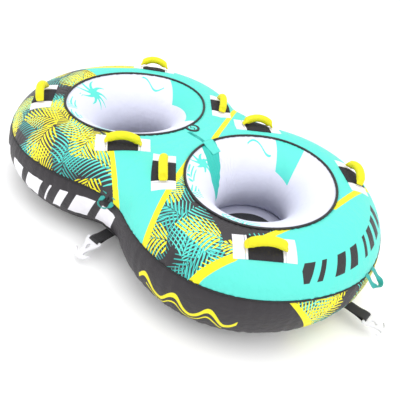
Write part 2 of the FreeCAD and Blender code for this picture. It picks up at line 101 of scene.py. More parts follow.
def oval_foot(heading):
    """Points on the front ring's centreline, and the level outward directions there."""
    c, s = np.cos(heading), np.sin(heading)
    side = np.abs(c) > math.cos(TURN)
    x = np.where(side, -np.sign(c) * SIDE_CENTRE + SIDE_RADIUS * c, END_RADIUS * c)
    y = np.where(side, SIDE_RADIUS * s, np.sign(s) * END_CENTRE + END_RADIUS * s)
    level = np.zeros_like(x)
    return np.stack([x + RING_OFFSET, y, level + MID], -1), np.stack([c, s, level], -1)


def ring_gap(x, y, ring):
    """Level distance of points from a ring's centreline, outside positive."""
    qx, qy = np.abs(x - ring * RING_OFFSET), np.abs(y)
    end = SIDE_CENTRE * (qy - END_CENTRE) > END_CENTRE * qx
    return np.where(end, np.hypot(qx, qy - END_CENTRE) - END_RADIUS, np.hypot(qx + SIDE_CENTRE, qy) - SIDE_RADIUS)


def soft_min(a, b, k):
    h = np.maximum(k - np.abs(a - b), 0) / k
    return np.minimum(a, b) - h * h * k / 4


def skin_gap(p):
    """Distance of points from the stretched cover, inside negative. The cloth bridges the crease at the waist."""
    x, y, z = p[..., 0], p[..., 1], p[..., 2] - MID
    rear, front = np.hypot(ring_gap(x, y, -1), z), np.hypot(ring_gap(x, y, 1), z)
    waist = np.hypot(np.hypot(x, np.maximum(np.abs(y) - WAIST_REACH, 0)), z)
    k = 0.08 * smooth_step(0.22, 0.38, np.abs(y)) + 1e-6
    return soft_min(soft_min(rear, front, k), waist, k) - TUBE


def skin_normal(p):
    step = 0.0008
    return unit(np.stack([skin_gap(p + step * e) - skin_gap(p - step * e) for e in np.eye(3)], -1))


def on_skin(p, lift=0.0):
    """Moves points to the cover's surface, then out by lift."""
    p = np.array(p, float)
    for _ in range(7):
        p = p - skin_normal(p) * skin_gap(p)[..., None]
    return p + skin_normal(p) * np.asarray(lift, float)[..., None]


def reach_skin(origin, direction):
    """Points where rays from inside the tube meet its cover."""
    r = np.full(direction.shape[:-1], 0.8 * TUBE)
    for _ in range(70):
        r = r - skin_gap(origin + direction * r[..., None])
    return origin + direction * r[..., None]


def inside(x, y, corners):
    """Signed distance into a convex shape whose corners run clockwise."""
    return np.minimum.reduce([line_side(x, y, *side) for side in zip(corners, corners[1:] + corners[:1])])


def burst(x, y, centre, radius, leaves):
    """Signed distance into a palm's crown: leaves that fan out from its centre, curling and tapering."""
    dx, dy = x - centre[0], y - centre[1]
    far = np.hypot(dx, dy)
    turn = (np.arctan2(dy, dx) + 0.7 * far / radius) * leaves / (2 * math.pi)
    off = far * np.abs(turn % 1 - 0.5) * 2 * math.pi / leaves
    return np.minimum(0.0020 + 0.0105 * (1 - far / radius) - off, radius - far)


def seam_height(p):
    """Height of the upper seam: it dips at the waist and at both ends."""
    waist = 0.024 * np.exp(-(p[..., 0] / 0.13) ** 2)
    ends = 0.016 * np.exp(-(p[..., 1] / 0.20) ** 2)
    return MID + SEAM_RISE + 0.004 - waist - ends


def over_tube(outward, angle):
    """Directions from the centreline, by angle from level inwards, up and over to level outwards."""
    return -outward * np.cos(angle)[..., None] + UP * np.sin(angle)[..., None]


def ripple(turn, cycles, seed):
    """Uneven ripple round a closed line: waves of whole cycle counts, added up."""
    rng = np.random.default_rng(seed)
    waves = [np.sin(n * turn + rng.uniform(0, 2 * math.pi)) for n in cycles]
    return sum(waves) / len(waves)


def line_side(x, y, start, end):
    """Distance of points from a straight seam, positive on its right going from start to end."""
    dx, dy = end[0] - start[0], end[1] - start[1]
    return ((x - start[0]) * dy - (y - start[1]) * dx) / math.hypot(dx, dy)


# ---------------------------------------------------------------- meshes

def grid_faces(rows, columns, wrap_rows=False, wrap_columns=False):
    """Quads over a grid of points stored row by row."""
    i = np.arange(rows if wrap_rows else rows - 1)[:, None]
    j = np.arange(columns if wrap_columns else columns - 1)[None, :]
    a, b = i * columns + j, ((i + 1) % rows) * columns + j
    c, d = ((i + 1) % rows) * columns + (j + 1) % columns, i * columns + (j + 1) % columns
    return np.stack([a, b, c, d], -1).reshape(-1, 4)


def and_turned_over(faces, count):
    """Faces of a grid, and of a second one that faces the other way and is stored after the first's count points."""
    return np.concatenate([faces, (faces + count)[:, ::-1]])


def sheet_rim(shape):
    """Which points of a grid lie on its edge."""
    rim = np.ones(shape, bool)
    rim[1:-1, 1:-1] = False
    return rim


def placed(name, data):
    """A new object, put into the scene."""
    made = bpy.data.objects.new(name, data)
    bpy.context.scene.collection.objects.link(made)
    return made


def set_tags(mesh, tags):
    """Keeps values at a mesh's points, as attributes."""
    for tag, values in tags.items():
        kind, field = ("FLOAT", "value") if values.ndim == 1 else ("FLOAT_VECTOR", "vector")
        layer = mesh.attributes.new(tag, kind, "POINT")
        layer.data.foreach_set(field, np.ascontiguousarray(values, np.float32).ravel())


def clean(mesh, merge, turn_out):
    """Merges points closer than merge, and turns the faces outward if asked."""
    bm = bmesh.new()
    bm.from_mesh(mesh)
    if merge:
        bmesh.ops.remove_doubles(bm, verts=bm.verts, dist=merge)
    if turn_out:
        bmesh.ops.recalc_face_normals(bm, faces=bm.faces)
    bm.to_mesh(mesh)
    bm.free()


def new_piece(name, points, faces, material, tags=None, outward=None, merge=0.0):
    """A mesh object from arrays. tags are values kept at its points, and outward turns its faces to that side."""
    mesh = bpy.data.meshes.new(name)
    mesh.from_pydata([tuple(p) for p in points], [], [tuple(int(i) for i in f) for f in faces])
    set_tags(mesh, tags or {})
    if outward is not None:
        middles = np.array([f.center[:] for f in mesh.polygons])
        normals = np.array([f.normal[:] for f in mesh.polygons])
        if (normals * outward(middles)).sum() < 0:
            mesh.flip_normals()
    if merge or outward is None:
        clean(mesh, merge, outward is None)
    mesh.polygons.foreach_set("use_smooth", [True] * len(mesh.polygons))
    mesh.materials.append(material)
    return placed(name, mesh)


def settle(piece, body, slot, *nodes, fill=None):
    """Rides a finished piece on its body, with the CAD nodes it stands for."""
    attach(piece, body)
    if nodes:
        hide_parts(*nodes)


def solidify(piece, thickness):
    """Gives a sheet its cloth's thickness, on the inside."""
    wall = piece.modifiers.new("cloth thickness", "SOLIDIFY")
    wall.thickness, wall.offset = thickness, -1.0


def sweep(name, path, side, lift, profile, material, closed=False):
    """Carries a profile, in side and lift directions, along a path."""
    path, side, lift = (np.broadcast_to(v, path.shape) for v in (path, side, lift))
    profile = np.asarray(profile, float)
    if profile.ndim == 2:
        profile = np.broadcast_to(profile, (len(path),) + profile.shape)
    points = path[:, None] + side[:, None] * profile[..., :1] + lift[:, None] * profile[..., 1:]
    rows, columns = points.shape[:2]
    faces = [tuple(f) for f in grid_faces(rows, columns, closed, True)]
    if not closed:
        faces += [tuple(range(columns)), tuple((rows - 1) * columns + i for i in range(columns))[::-1]]
    return new_piece(name, points.reshape(-1, 3), faces, material)


def full_turn(count, start=0.0):
    """Even angles once round."""
    return np.linspace(start, start + 2 * math.pi, count, endpoint=False)


def circle(radius, count):
    turn = full_turn(count)
    return np.stack([np.cos(turn), np.sin(turn)], -1) * radius


def strip_profile(width, thickness, arc=3):
    """Webbing's section: flat faces and rounded edges."""
    r = thickness / 2
    turn = np.linspace(-math.pi / 2, math.pi / 2, arc + 2)
    right = np.stack([width / 2 - r + r * np.cos(turn), r * np.sin(turn)], -1)
    flat = np.linspace(width / 2 - r, -(width / 2 - r), 7)[1:-1]
    top = np.stack([flat, np.full(5, r)], -1)
    left = -right
    return np.concatenate([right, top, left, -top])


def path_frames(path, side):
    """Lift directions square to a path and to its side directions."""
    ahead = unit(np.gradient(path, axis=0))
    side = unit(side - ahead * (side * ahead).sum(-1, keepdims=True))
    return side, np.cross(ahead, side)


def slab(name, place, nodes_along, nodes_across, height, base, material, relief=None):
    """A closed soft slab draped on the cover. place turns (along, across) grids into points on it."""
    s, c = np.meshgrid(nodes_along, nodes_across, indexing="ij")
    edge = sheet_rim(s.shape)
    tall = np.full(s.shape, height) + (relief(s, c) if relief else 0)
    under = place(s, c)
    normal = skin_normal(under)
    top = under + normal * np.where(edge, (tall + base) / 2, tall)[..., None]
    bottom = under + normal * np.where(edge, (tall + base) / 2, base)[..., None]
    points = np.concatenate([top.reshape(-1, 3), bottom.reshape(-1, 3)])
    faces = and_turned_over(grid_faces(*s.shape), s.size)
    values = {"cloth": np.tile(np.stack([s, c, s * 0], -1).reshape(-1, 3), (2, 1))}
    return new_piece(name, points, faces, material, values, merge=1e-6)


def with_edges(low, high, cell, inset=0.0012):
    """Positions from low to high, with one close to each end so that the edge is rounded."""
    count = max(2, int(round((high - low) / cell)))
    inner = np.linspace(low + inset, high - inset, count + 1)
    return np.concatenate([[low], inner, [high]])


# ---------------------------------------------------------------- materials

MATH, MIX, VECTOR, TAG = "ShaderNodeMath", "ShaderNodeMix", "ShaderNodeVectorMath", "ShaderNodeAttribute"
FROM, TO, RESULT = 6, 7, 2  # a Mix node's colour sockets
BAND_STEP, TWILL_STEP = 0.314, 0.196  # metres between a wave texture's bands at scale 1, straight and diagonal


def add(tree, kind, links=None, **settings):
    """Adds a node: settings are its properties, links its inputs' values, sockets or source nodes."""
    made = tree.nodes.new(kind)
    for key, value in settings.items():
        setattr(made, key, value)
    for key, value in (links or {}).items():
        socket = made.inputs[key]
        if isinstance(value, bpy.types.Node):
            tree.links.new(value.outputs[0], socket)
        elif isinstance(value, bpy.types.NodeSocket):
            tree.links.new(value, socket)
        elif socket.type == "RGBA":
            socket.default_value = (*value, 1)
        else:
            socket.default_value = value
    return made


def new_material(name, colour, roughness, sheen=0.0):
    """A material with its surface shader. Returns the material, its tree and the shader."""
    material = bpy.data.materials.get(name) or bpy.data.materials.new(name)
    material.use_nodes = True
    tree = material.node_tree
    shader = next(n for n in tree.nodes if n.type == "BSDF_PRINCIPLED")
    shader.inputs["Base Color"].default_value = (*colour, 1)
    shader.inputs["Roughness"].default_value = roughness
    shader.inputs["Sheen Weight"].default_value = sheen
    return material, tree, shader


def weave_of(tree, place, pitch, operation):
    """Waves of the given pitch in metres, along and across the cloth, put together."""
    ways = [add(tree, "ShaderNodeTexWave", {"Vector": place, "Scale": BAND_STEP / pitch}, bands_direction=axis)
            for axis in "XY"]
    return add(tree, MATH, {0: ways[0].outputs["Fac"], 1: ways[1].outputs["Fac"]}, operation=operation)


def cloth_relief(tree, shader, place, pitch, weave, crumple, size=22.0):
    """Weave of the given pitch in metres and soft crumples, as bump. Returns the crumples' height."""
    threads = weave_of(tree, place, pitch, "MULTIPLY")
    noise = add(tree, "ShaderNodeTexNoise", {"Vector": place, "Scale": size, "Detail": 4.0, "Roughness": 0.55})
    folds = noise.outputs["Fac"]
    fine = add(tree, "ShaderNodeBump", {"Height": threads, "Strength": weave, "Distance": 0.0006})
    broad = add(tree, "ShaderNodeBump", {"Height": folds, "Strength": crumple, "Distance": 0.01, "Normal": fine})
    tree.links.new(broad.outputs[0], shader.inputs["Normal"])
    return folds


def painted_shade_and_tone(tree, shader, colour, folds, amount):
    """Painted shade and uneven tone: the colour darkens where the value is low. Where the value is a bump's height this
    is painted shade in its hollows; where it is plain noise it is uneven tone.
    """
    # painted shade where the value is a bump's height: its hollows get the darker colour
    dark = tuple(c * (1 - amount) for c in colour)
    mixed = add(tree, MIX, {0: folds, FROM: dark, TO: tuple(colour)}, data_type="RGBA")
    tree.links.new(mixed.outputs[RESULT], shader.inputs["Base Color"])


def frond_group():
    """Palm fronds, one to a random cell: slanted leaflets on both sides of a bent rib, inside an oval."""
    group = bpy.data.node_groups.new("frond print", "ShaderNodeTree")
    group.interface.new_socket("Place", in_out="INPUT", socket_type="NodeSocketVector")
    for name in ("Size", "Leaflets", "Share", "Width"):
        group.interface.new_socket(name, in_out="INPUT", socket_type="NodeSocketFloat")
    group.interface.new_socket("Mask", in_out="OUTPUT", socket_type="NodeSocketFloat")
    ins = add(group, "NodeGroupInput").outputs
    # one cell of the pattern, turned and centred on its own frond
    cell = add(group, MATH, {0: 1.0, 1: ins["Size"]}, operation="DIVIDE")
    place = add(group, VECTOR, {0: ins["Place"], "Scale": cell}, operation="SCALE")
    spots = add(group, "ShaderNodeTexVoronoi", {"Vector": place, "Scale": 1.0, "Randomness": 0.8},
                voronoi_dimensions="2D")
    local = add(group, VECTOR, {0: place, 1: spots.outputs["Position"]}, operation="SUBTRACT")
    chance = add(group, "ShaderNodeSeparateColor", {0: spots.outputs["Color"]}).outputs
    angle = add(group, MATH, {0: chance[0], 1: 2 * math.pi}, operation="MULTIPLY")
    turned = add(group, "ShaderNodeVectorRotate", {"Vector": local, "Angle": angle}, rotation_type="Z_AXIS")
    uv = add(group, "ShaderNodeSeparateXYZ", {0: turned}).outputs
    # the rib bends, and the leaflets sweep back from it and taper
    square = add(group, MATH, {0: uv[0], 1: uv[0]}, operation="MULTIPLY")
    bend = add(group, MATH, {0: square, 1: 0.45}, operation="MULTIPLY")
    off = add(group, MATH, {0: uv[1], 1: bend}, operation="SUBTRACT")
    across = add(group, MATH, {0: off}, operation="ABSOLUTE")
    bowed = add(group, MATH, {0: across, 1: 0.8}, operation="POWER")
    swept = add(group, MATH, {0: bowed, 1: 0.75}, operation="MULTIPLY")
    start = add(group, MATH, {0: uv[0], 1: swept}, operation="SUBTRACT")
    count = add(group, MATH, {0: start, 1: ins["Leaflets"]}, operation="MULTIPLY")
    turn = add(group, MATH, {0: count}, operation="FRACT")
    middle = add(group, MATH, {0: turn, 1: 0.5}, operation="SUBTRACT")
    wave = add(group, MATH, {0: middle}, operation="ABSOLUTE")
    taper = add(group, MATH, {0: across, 1: 0.45}, operation="MULTIPLY")
    narrow = add(group, MATH, {0: ins["Width"], 1: taper}, operation="SUBTRACT")
    leaflet = add(group, MATH, {0: wave, 1: narrow}, operation="LESS_THAN")
    # only inside the frond's oval, off its rib, and only for a share of the cells
    long = add(group, MATH, {0: uv[0], 1: 0.66}, operation="DIVIDE")
    wide = add(group, MATH, {0: across, 1: 0.46}, operation="DIVIDE")
    oval = add(group, "ShaderNodeCombineXYZ", {0: long, 1: wide})
    reach = add(group, VECTOR, {0: oval}, operation="LENGTH").outputs["Value"]
    inside = add(group, MATH, {0: reach, 1: 1.0}, operation="LESS_THAN")
    off_rib = add(group, MATH, {0: across, 1: 0.012}, operation="GREATER_THAN")
    there = add(group, MATH, {0: chance[1], 1: ins["Share"]}, operation="LESS_THAN")
    shape = add(group, MATH, {0: leaflet, 1: inside}, operation="MULTIPLY")
    shown = add(group, MATH, {0: off_rib, 1: there}, operation="MULTIPLY")
    add(group, "NodeGroupOutput", {0: add(group, MATH, {0: shape, 1: shown}, operation="MULTIPLY")})
    return group


def fronds(tree, place, shift, size, leaflets, share, width=0.3):
    """One layer of the frond print. size is a cell's width in metres, leaflets their number along a cell."""
    moved = add(tree, VECTOR, {0: place, 1: (shift, shift * 0.7, 0)}, operation="ADD")
    group = bpy.data.node_groups.get("frond print") or frond_group()
    layer = add(tree, "ShaderNodeGroup", node_tree=group)
    tree.links.new(moved.outputs[0], layer.inputs["Place"])
    for name, value in (("Size", size), ("Leaflets", leaflets), ("Share", share), ("Width", width)):
        layer.inputs[name].default_value = value
    return layer


def leaf_print(tree, place, colours):
    """Charcoal ground under three layers of teal fronds and two of yellow."""
    colour = colours.charcoal
    layers = (((0.0, 0.185, 10.5, 0.85, 0.27), colours.teal), ((3.37, 0.165, 10.0, 0.42, 0.24), colours.deep_teal),
              ((5.23, 0.150, 9.5, 0.30, 0.25), colours.teal), ((8.33, 0.150, 9.0, 0.55, 0.31), colours.yellow),
              ((7.91, 0.145, 9.0, 0.45, 0.31), colours.yellow))
    for settings, ink in layers:
        mask = fronds(tree, place, *settings)
        colour = add(tree, MIX, {0: mask, FROM: colour, TO: ink}, data_type="RGBA").outputs[RESULT]
    return colour


def bars(tree, along, across, half_height, pitch, share, reach, slant=0.45):
    """A row of slanted bars along a line, of two mixed widths."""
    shear = add(tree, MATH, {0: across, 1: slant}, operation="MULTIPLY")
    sheared = add(tree, MATH, {0: along, 1: shear}, operation="ADD")
    steps = add(tree, MATH, {0: sheared, 1: pitch}, operation="DIVIDE")
    bar = add(tree, MATH, {0: add(tree, MATH, {0: steps}, operation="FRACT"), 1: share}, operation="LESS_THAN")
    slow = add(tree, MATH, {0: steps, 1: 2.7}, operation="DIVIDE")
    gap = add(tree, MATH, {0: add(tree, MATH, {0: slow}, operation="FRACT"), 1: 0.12}, operation="GREATER_THAN")
    height = add(tree, MATH, {0: across}, operation="ABSOLUTE")
    tall = add(tree, MATH, {0: height, 1: half_height}, operation="LESS_THAN")
    length = add(tree, MATH, {0: along}, operation="ABSOLUTE")
    long = add(tree, MATH, {0: length, 1: reach}, operation="LESS_THAN")
    cut = add(tree, MATH, {0: bar, 1: gap}, operation="MULTIPLY")
    block = add(tree, MATH, {0: tall, 1: long}, operation="MULTIPLY")
    return add(tree, MATH, {0: cut, 1: block}, operation="MULTIPLY")


def waves(tree, along, across, length, rise, thick, reach):
    """A wavy line of even thickness."""
    phase = add(tree, MATH, {0: along, 1: 2 * math.pi / length}, operation="MULTIPLY")
    swing = add(tree, MATH, {0: phase}, operation="SINE")
    crest = add(tree, MATH, {0: swing, 1: rise}, operation="MULTIPLY")
    off = add(tree, MATH, {0: across, 1: crest}, operation="SUBTRACT")
    near = add(tree, MATH, {0: add(tree, MATH, {0: off}, operation="ABSOLUTE"), 1: thick}, operation="LESS_THAN")
    far = add(tree, MATH, {0: along}, operation="ABSOLUTE")
    long = add(tree, MATH, {0: far, 1: reach}, operation="LESS_THAN")
    return add(tree, MATH, {0: near, 1: long}, operation="MULTIPLY")


def zone_colour(tree, zone, below, above):
    """Colour above where the mesh's zone value is positive, colour below elsewhere."""
    value = add(tree, TAG, attribute_name=zone).outputs["Fac"]
    mask = add(tree, MATH, {0: value, 1: 0.0}, operation="GREATER_THAN")
    return add(tree, MIX, {0: mask, FROM: below, TO: above}, data_type="RGBA").outputs[RESULT]


def top_material(colours):
    """Dye-printed coated nylon, satin: panels of teal, fronds and yellow, with a faint weave."""
    material, tree, shader = new_material("dye-printed coated nylon", colours.teal, 0.45, sheen=0.05)
    place = add(tree, TAG, attribute_name="cloth").outputs["Vector"]
    along = add(tree, TAG, attribute_name="badge_along").outputs["Fac"]
    across = add(tree, TAG, attribute_name="badge_across").outputs["Fac"]
    colour = zone_colour(tree, "leaf", colours.teal, leaf_print(tree, place, colours))
    mark = bars(tree, along, across, 0.033, 0.056, 0.62, 0.22)
    colour = add(tree, MIX, {0: mark, FROM: colour, TO: colours.ink}, data_type="RGBA").outputs[RESULT]
    colour = zone_colour(tree, "stripe", colour, colours.yellow)
    tree.links.new(colour, shader.inputs["Base Color"])
    cloth_relief(tree, shader, place, 0.0012, 0.25, 0.55)
    return material


def band_material(colours):
    """Coated nylon in charcoal, printed with fronds round the ends: duller and tougher than the top."""
    material, tree, shader = new_material("charcoal coated nylon", colours.charcoal, 0.55)
    place = add(tree, TAG, attribute_name="cloth").outputs["Vector"]
    names = ("badge_along", "badge_across", "wave_along", "wave_across")
    along, across, flow, level = (add(tree, TAG, attribute_name=name).outputs["Fac"] for name in names)
    lower = add(tree, MATH, {0: level, 1: 0.034}, operation="ADD")
    colour = zone_colour(tree, "leaf", colours.charcoal, leaf_print(tree, place, colours))
    marks = (
        (bars(tree, along, across, 0.054, 0.118, 0.70, 0.62), colours.white),
        (waves(tree, flow, level, 0.125, 0.032, 0.0115, 0.19), colours.yellow),
        (waves(tree, flow, lower, 0.125, 0.030, 0.0045, 0.15), colours.yellow),
    )
    for mask, ink in marks:
        colour = add(tree, MIX, {0: mask, FROM: colour, TO: ink}, data_type="RGBA").outputs[RESULT]
    colour = zone_colour(tree, "stripe", colour, colours.yellow)
    tree.links.new(colour, shader.inputs["Base Color"])
    cloth_relief(tree, shader, place, 0.0012, 0.25, 0.6)
    return material


def liner_material(colours):
    """White coated nylon of the wells, printed in teal with a palm, a broad sail and a few leaves."""
    material, tree, shader = new_material("white coated nylon", colours.liner, 0.5)
    place = add(tree, TAG, attribute_name="cloth").outputs["Vector"]
    leaves = fronds(tree, place, 1.9, 0.11, 5.0, 0.7, 0.30)
    strip = add(tree, MIX, {0: leaves, FROM: colours.liner, TO: colours.teal}, data_type="RGBA").outputs[RESULT]
    colour = zone_colour(tree, "leafy", colours.liner, strip)
    colour = zone_colour(tree, "shapes", colour, colours.teal)
    # painted shade: where the closure flap's cloth runs down the well wall it gets a darker teal than the flap on top
    colour = zone_colour(tree, "shaded_curtain", colour, colours.shaded_curtain)
    tree.links.new(colour, shader.inputs["Base Color"])
    cloth_relief(tree, shader, place, 0.0012, 0.2, 0.4, 14.0)
    return material


def plain_cloth(name, colour, roughness, pitch, weave, crumple, sheen=0.0, amount=0.12, size=22.0):
    """Woven cloth or tape of one colour, with its weave, soft crumples and painted shade in the crumples' hollows."""
    _, tree, shader = new_material(name, colour, roughness, sheen=sheen)
    place = add(tree, "ShaderNodeTexCoord").outputs["Object"]
    # painted shade: the crumples' height darkens the colour in their hollows
    painted_shade_and_tone(tree, shader, colour, cloth_relief(tree, shader, place, pitch, weave, crumple, size), amount)


def webbing(name, colour, ribs=0.0022):
    """Flat woven nylon webbing: close ribs across it that catch the light as fine lines, with painted shade in the
    grooves between them.
    """
    _, tree, shader = new_material(name, colour, 0.62, sheen=0.15)
    place = add(tree, TAG, attribute_name="cloth").outputs["Vector"]
    rows = add(tree, "ShaderNodeTexWave", {"Vector": place, "Scale": BAND_STEP / ribs}, bands_direction="X")
    twill = add(tree, "ShaderNodeTexWave", {"Vector": place, "Scale": TWILL_STEP / ribs}, bands_direction="DIAGONAL")
    height = add(tree, MATH, {0: rows.outputs["Fac"], 1: twill.outputs["Fac"]}, operation="ADD")
    bump = add(tree, "ShaderNodeBump", {"Height": height, "Strength": 0.5, "Distance": 0.0006})
    tree.links.new(bump.outputs[0], shader.inputs["Normal"])
    # painted shade: the colour darkens in the grooves between the ribs
    shade = add(tree, MATH, {0: height, 1: 0.5}, operation="MULTIPLY")
    painted_shade_and_tone(tree, shader, colour, shade, 0.35)


def moulded(name, colour, roughness, grain=900.0, depth=0.12, specks=0.04):
    """Injection-moulded or enamelled surface: near smooth, with a fine mould grain and faint unevenness."""
    _, tree, shader = new_material(name, colour, roughness)
    place = add(tree, "ShaderNodeTexCoord").outputs["Object"]
    fine = add(tree, "ShaderNodeTexNoise", {"Vector": place, "Scale": grain, "Detail": 2.0}).outputs["Fac"]
    broad = add(tree, "ShaderNodeTexNoise", {"Vector": place, "Scale": 40.0, "Detail": 3.0}).outputs["Fac"]
    bump = add(tree, "ShaderNodeBump", {"Height": fine, "Strength": depth, "Distance": 0.0004})
    tree.links.new(bump.outputs[0], shader.inputs["Normal"])
    painted_shade_and_tone(tree, shader, colour, broad, specks)
    wear = add(tree, "ShaderNodeMapRange", {"Value": broad, "To Min": roughness - 0.06, "To Max": roughness + 0.08})
    tree.links.new(wear.outputs[0], shader.inputs["Roughness"])


def mesh_material(colours):
    """Vinyl-coated drain mesh in a white cloth edge: a square net of 4 mm, drawn coarse enough to show."""
    material, tree, shader = new_material("vinyl-coated mesh", colours.ink, 0.5)
    place = add(tree, "ShaderNodeTexCoord").outputs["Object"]
    net = weave_of(tree, place, 0.004, "MAXIMUM")
    bump = add(tree, "ShaderNodeBump", {"Height": net, "Strength": 0.8, "Distance": 0.001})
    tree.links.new(bump.outputs[0], shader.inputs["Normal"])
    colour = add(tree, MIX, {0: net, FROM: linear("121314"), TO: linear("3F4042")}, data_type="RGBA")
    edged = zone_colour(tree, "net", colours.liner, colour.outputs[RESULT])
    tree.links.new(edged, shader.inputs["Base Color"])
    return material


def badge_material(colours):
    """Soft moulded badge: black ring round a teal field with a dark wave."""
    material, tree, shader = new_material("moulded soft badge", colours.ink, 0.4)
    place = add(tree, TAG, attribute_name="cloth").outputs["Vector"]
    radius = add(tree, VECTOR, {0: place}, operation="LENGTH").outputs["Value"]
    xy = add(tree, "ShaderNodeSeparateXYZ", {0: place}).outputs
    inner = add(tree, MATH, {0: radius, 1: 0.0205}, operation="LESS_THAN")
    wave = waves(tree, xy[0], xy[1], 0.022, 0.0045, 0.0032, 0.017)
    field = add(tree, MIX, {0: inner, FROM: colours.ink, TO: colours.teal}, data_type="RGBA").outputs[RESULT]
    colour = add(tree, MIX, {0: wave, FROM: field, TO: colours.ink}, data_type="RGBA").outputs[RESULT]
    tree.links.new(colour, shader.inputs["Base Color"])
    bump = add(tree, "ShaderNodeBump", {"Height": inner, "Strength": 0.5, "Distance": 0.0008})
    tree.links.new(bump.outputs[0], shader.inputs["Normal"])
    return material


def finishes():
    """All the plain materials, made once."""
    colours = bpy.context.scene.tube_colours
    if "woven yellow nylon" not in bpy.data.materials:
        plain_cloth("heavy coated nylon", colours.ink, 0.6, 0.0015, 0.3, 0.3)
        plain_cloth("teal coated nylon", colours.teal, 0.45, 0.0012, 0.25, 0.5)
        plain_cloth("woven yellow nylon", colours.yellow, 0.6, 0.0016, 0.5, 0.5, amount=0.14, size=60.0)
        plain_cloth("white coated vinyl", colours.white, 0.45, 0.0014, 0.3, 0.3, amount=0.05, size=50.0)
        plain_cloth("fabric-faced foam", colours.guard, 0.8, 0.0018, 0.5, 0.4, amount=0.2, size=70.0)
        plain_cloth("woven binding tape", colours.ink, 0.7, 0.0016, 0.5, 0.2)
        plain_cloth("woven zip tape", colours.deep_teal, 0.7, 0.0016, 0.5, 0.2)
        plain_cloth("vinyl welt cord", colours.ink, 0.4, 0.004, 0.3, 0.3, size=80.0)
        plain_cloth("polyester thread", colours.thread, 0.6, 0.001, 0.3, 0.1)
        plain_cloth("grey polyester thread", colours.grey_thread, 0.6, 0.001, 0.3, 0.1)
        webbing("black nylon webbing", colours.black_webbing)
        webbing("teal nylon webbing", colours.deep_teal)
        moulded("moulded white nylon", colours.plastic, 0.38)
        moulded("moulded soft PVC", colours.ink, 0.45)
        moulded("heat-welded PVC film", linear("3A3C40"), 0.35, 200.0)
        moulded("enamelled die casting", colours.deep_teal, 0.3)
        moulded("nylon zip coil", colours.deep_teal, 0.4)
    return bpy.data.materials


# ---------------------------------------------------------------- repeats along a line

def bead_tree():
    """Geometry nodes: small oval beads, as stitches or zip teeth, along the lines of a mesh."""
    tree = bpy.data.node_groups.new("beads along a line", "GeometryNodeTree")
    for name, kind in (("Lines", "Geometry"), ("Spacing", "Float"), ("Size", "Vector"), ("Finish", "Material")):
        tree.interface.new_socket(name, in_out="INPUT", socket_type="NodeSocket" + kind)
    tree.interface.new_socket("Beads", in_out="OUTPUT", socket_type="NodeSocketGeometry")
    ins = add(tree, "NodeGroupInput").outputs
    curve = add(tree, "GeometryNodeMeshToCurve", {0: ins["Lines"]})
    even = add(tree, "GeometryNodeResampleCurve", {"Curve": curve, "Length": ins["Spacing"]}, mode="LENGTH")
    bead = add(tree, "GeometryNodeMeshIcoSphere", {"Radius": 0.5, "Subdivisions": 1}).outputs["Mesh"]
    ahead = add(tree, "GeometryNodeInputTangent")
    turn = add(tree, "FunctionNodeAlignRotationToVector", {"Vector": ahead}, axis="X")
    spots = {"Points": even, "Instance": bead, "Rotation": turn, "Scale": ins["Size"]}
    row = add(tree, "GeometryNodeInstanceOnPoints", spots)
    real = add(tree, "GeometryNodeRealizeInstances", {0: row})
    smooth = add(tree, "GeometryNodeSetShadeSmooth", {0: real})
    done = add(tree, "GeometryNodeSetMaterial", {"Geometry": smooth, "Material": ins["Finish"]})
    add(tree, "NodeGroupOutput", {0: done})
    return tree


def beads(name, lines, spacing, size, material):
    """A row of beads along each line, as one plain mesh."""
    points, edges = [], []
    for line, closed in lines:
        first = len(points)
        points += [tuple(p) for p in line]
        edges += [(first + i, first + i + 1) for i in range(len(line) - 1)]
        if closed:
            edges.append((len(points) - 1, first))
    mesh = bpy.data.meshes.new(name + " lines")
    mesh.from_pydata(points, edges, [])
    host = placed(name + " lines", mesh)
    tree = bpy.data.node_groups.get("beads along a line") or bead_tree()
    maker = host.modifiers.new("beads", "NODES")
    maker.node_group = tree
    names = {item.name: item.identifier for item in tree.interface.items_tree if item.in_out == "INPUT"}
    maker[names["Spacing"]] = spacing
    maker[names["Size"]] = size
    maker[names["Finish"]] = material
    bpy.context.view_layer.update()
    result = bpy.data.meshes.new_from_object(host.evaluated_get(bpy.context.evaluated_depsgraph_get()))
    host.modifiers.remove(maker)
    bpy.data.objects.remove(host)
    if not result.polygons:
        raise RuntimeError(f"{name}: no beads were made")
    return placed(name, result)


# ---------------------------------------------------------------- sizes and colours

def size_property(name, description, metres):
    return bpy.props.FloatProperty(name=name, description=description, default=metres, unit="LENGTH")


class TubeSizes(bpy.types.PropertyGroup):
    """Sizes that a user would change."""
    cloth: size_property("Cloth thickness", "Thickness of the cover's cloth", 0.0015)
    pucker: size_property("Pucker depth", "Depth of the puckers at the sewn seams", 0.0032)
    pinch: size_property("Seam pinch", "How far a sewn seam pulls the cover in", 0.0026)
    bead: size_property("Rim cord radius", "Radius of the welt cord round the wells", 0.0055)
    tape: size_property("Binding width", "Width of the tape over the upper and lower seams", 0.008)
    stitch: size_property("Stitch length", "Length of one stitch", 0.0042)
    grip: size_property("Grip radius", "Radius of a handle's foam grip", 0.0172)


def colour_property(name, description, code):
    return bpy.props.FloatVectorProperty(name=name, description=description, subtype="COLOR", size=3,
                                         default=linear(code), min=0, max=1)


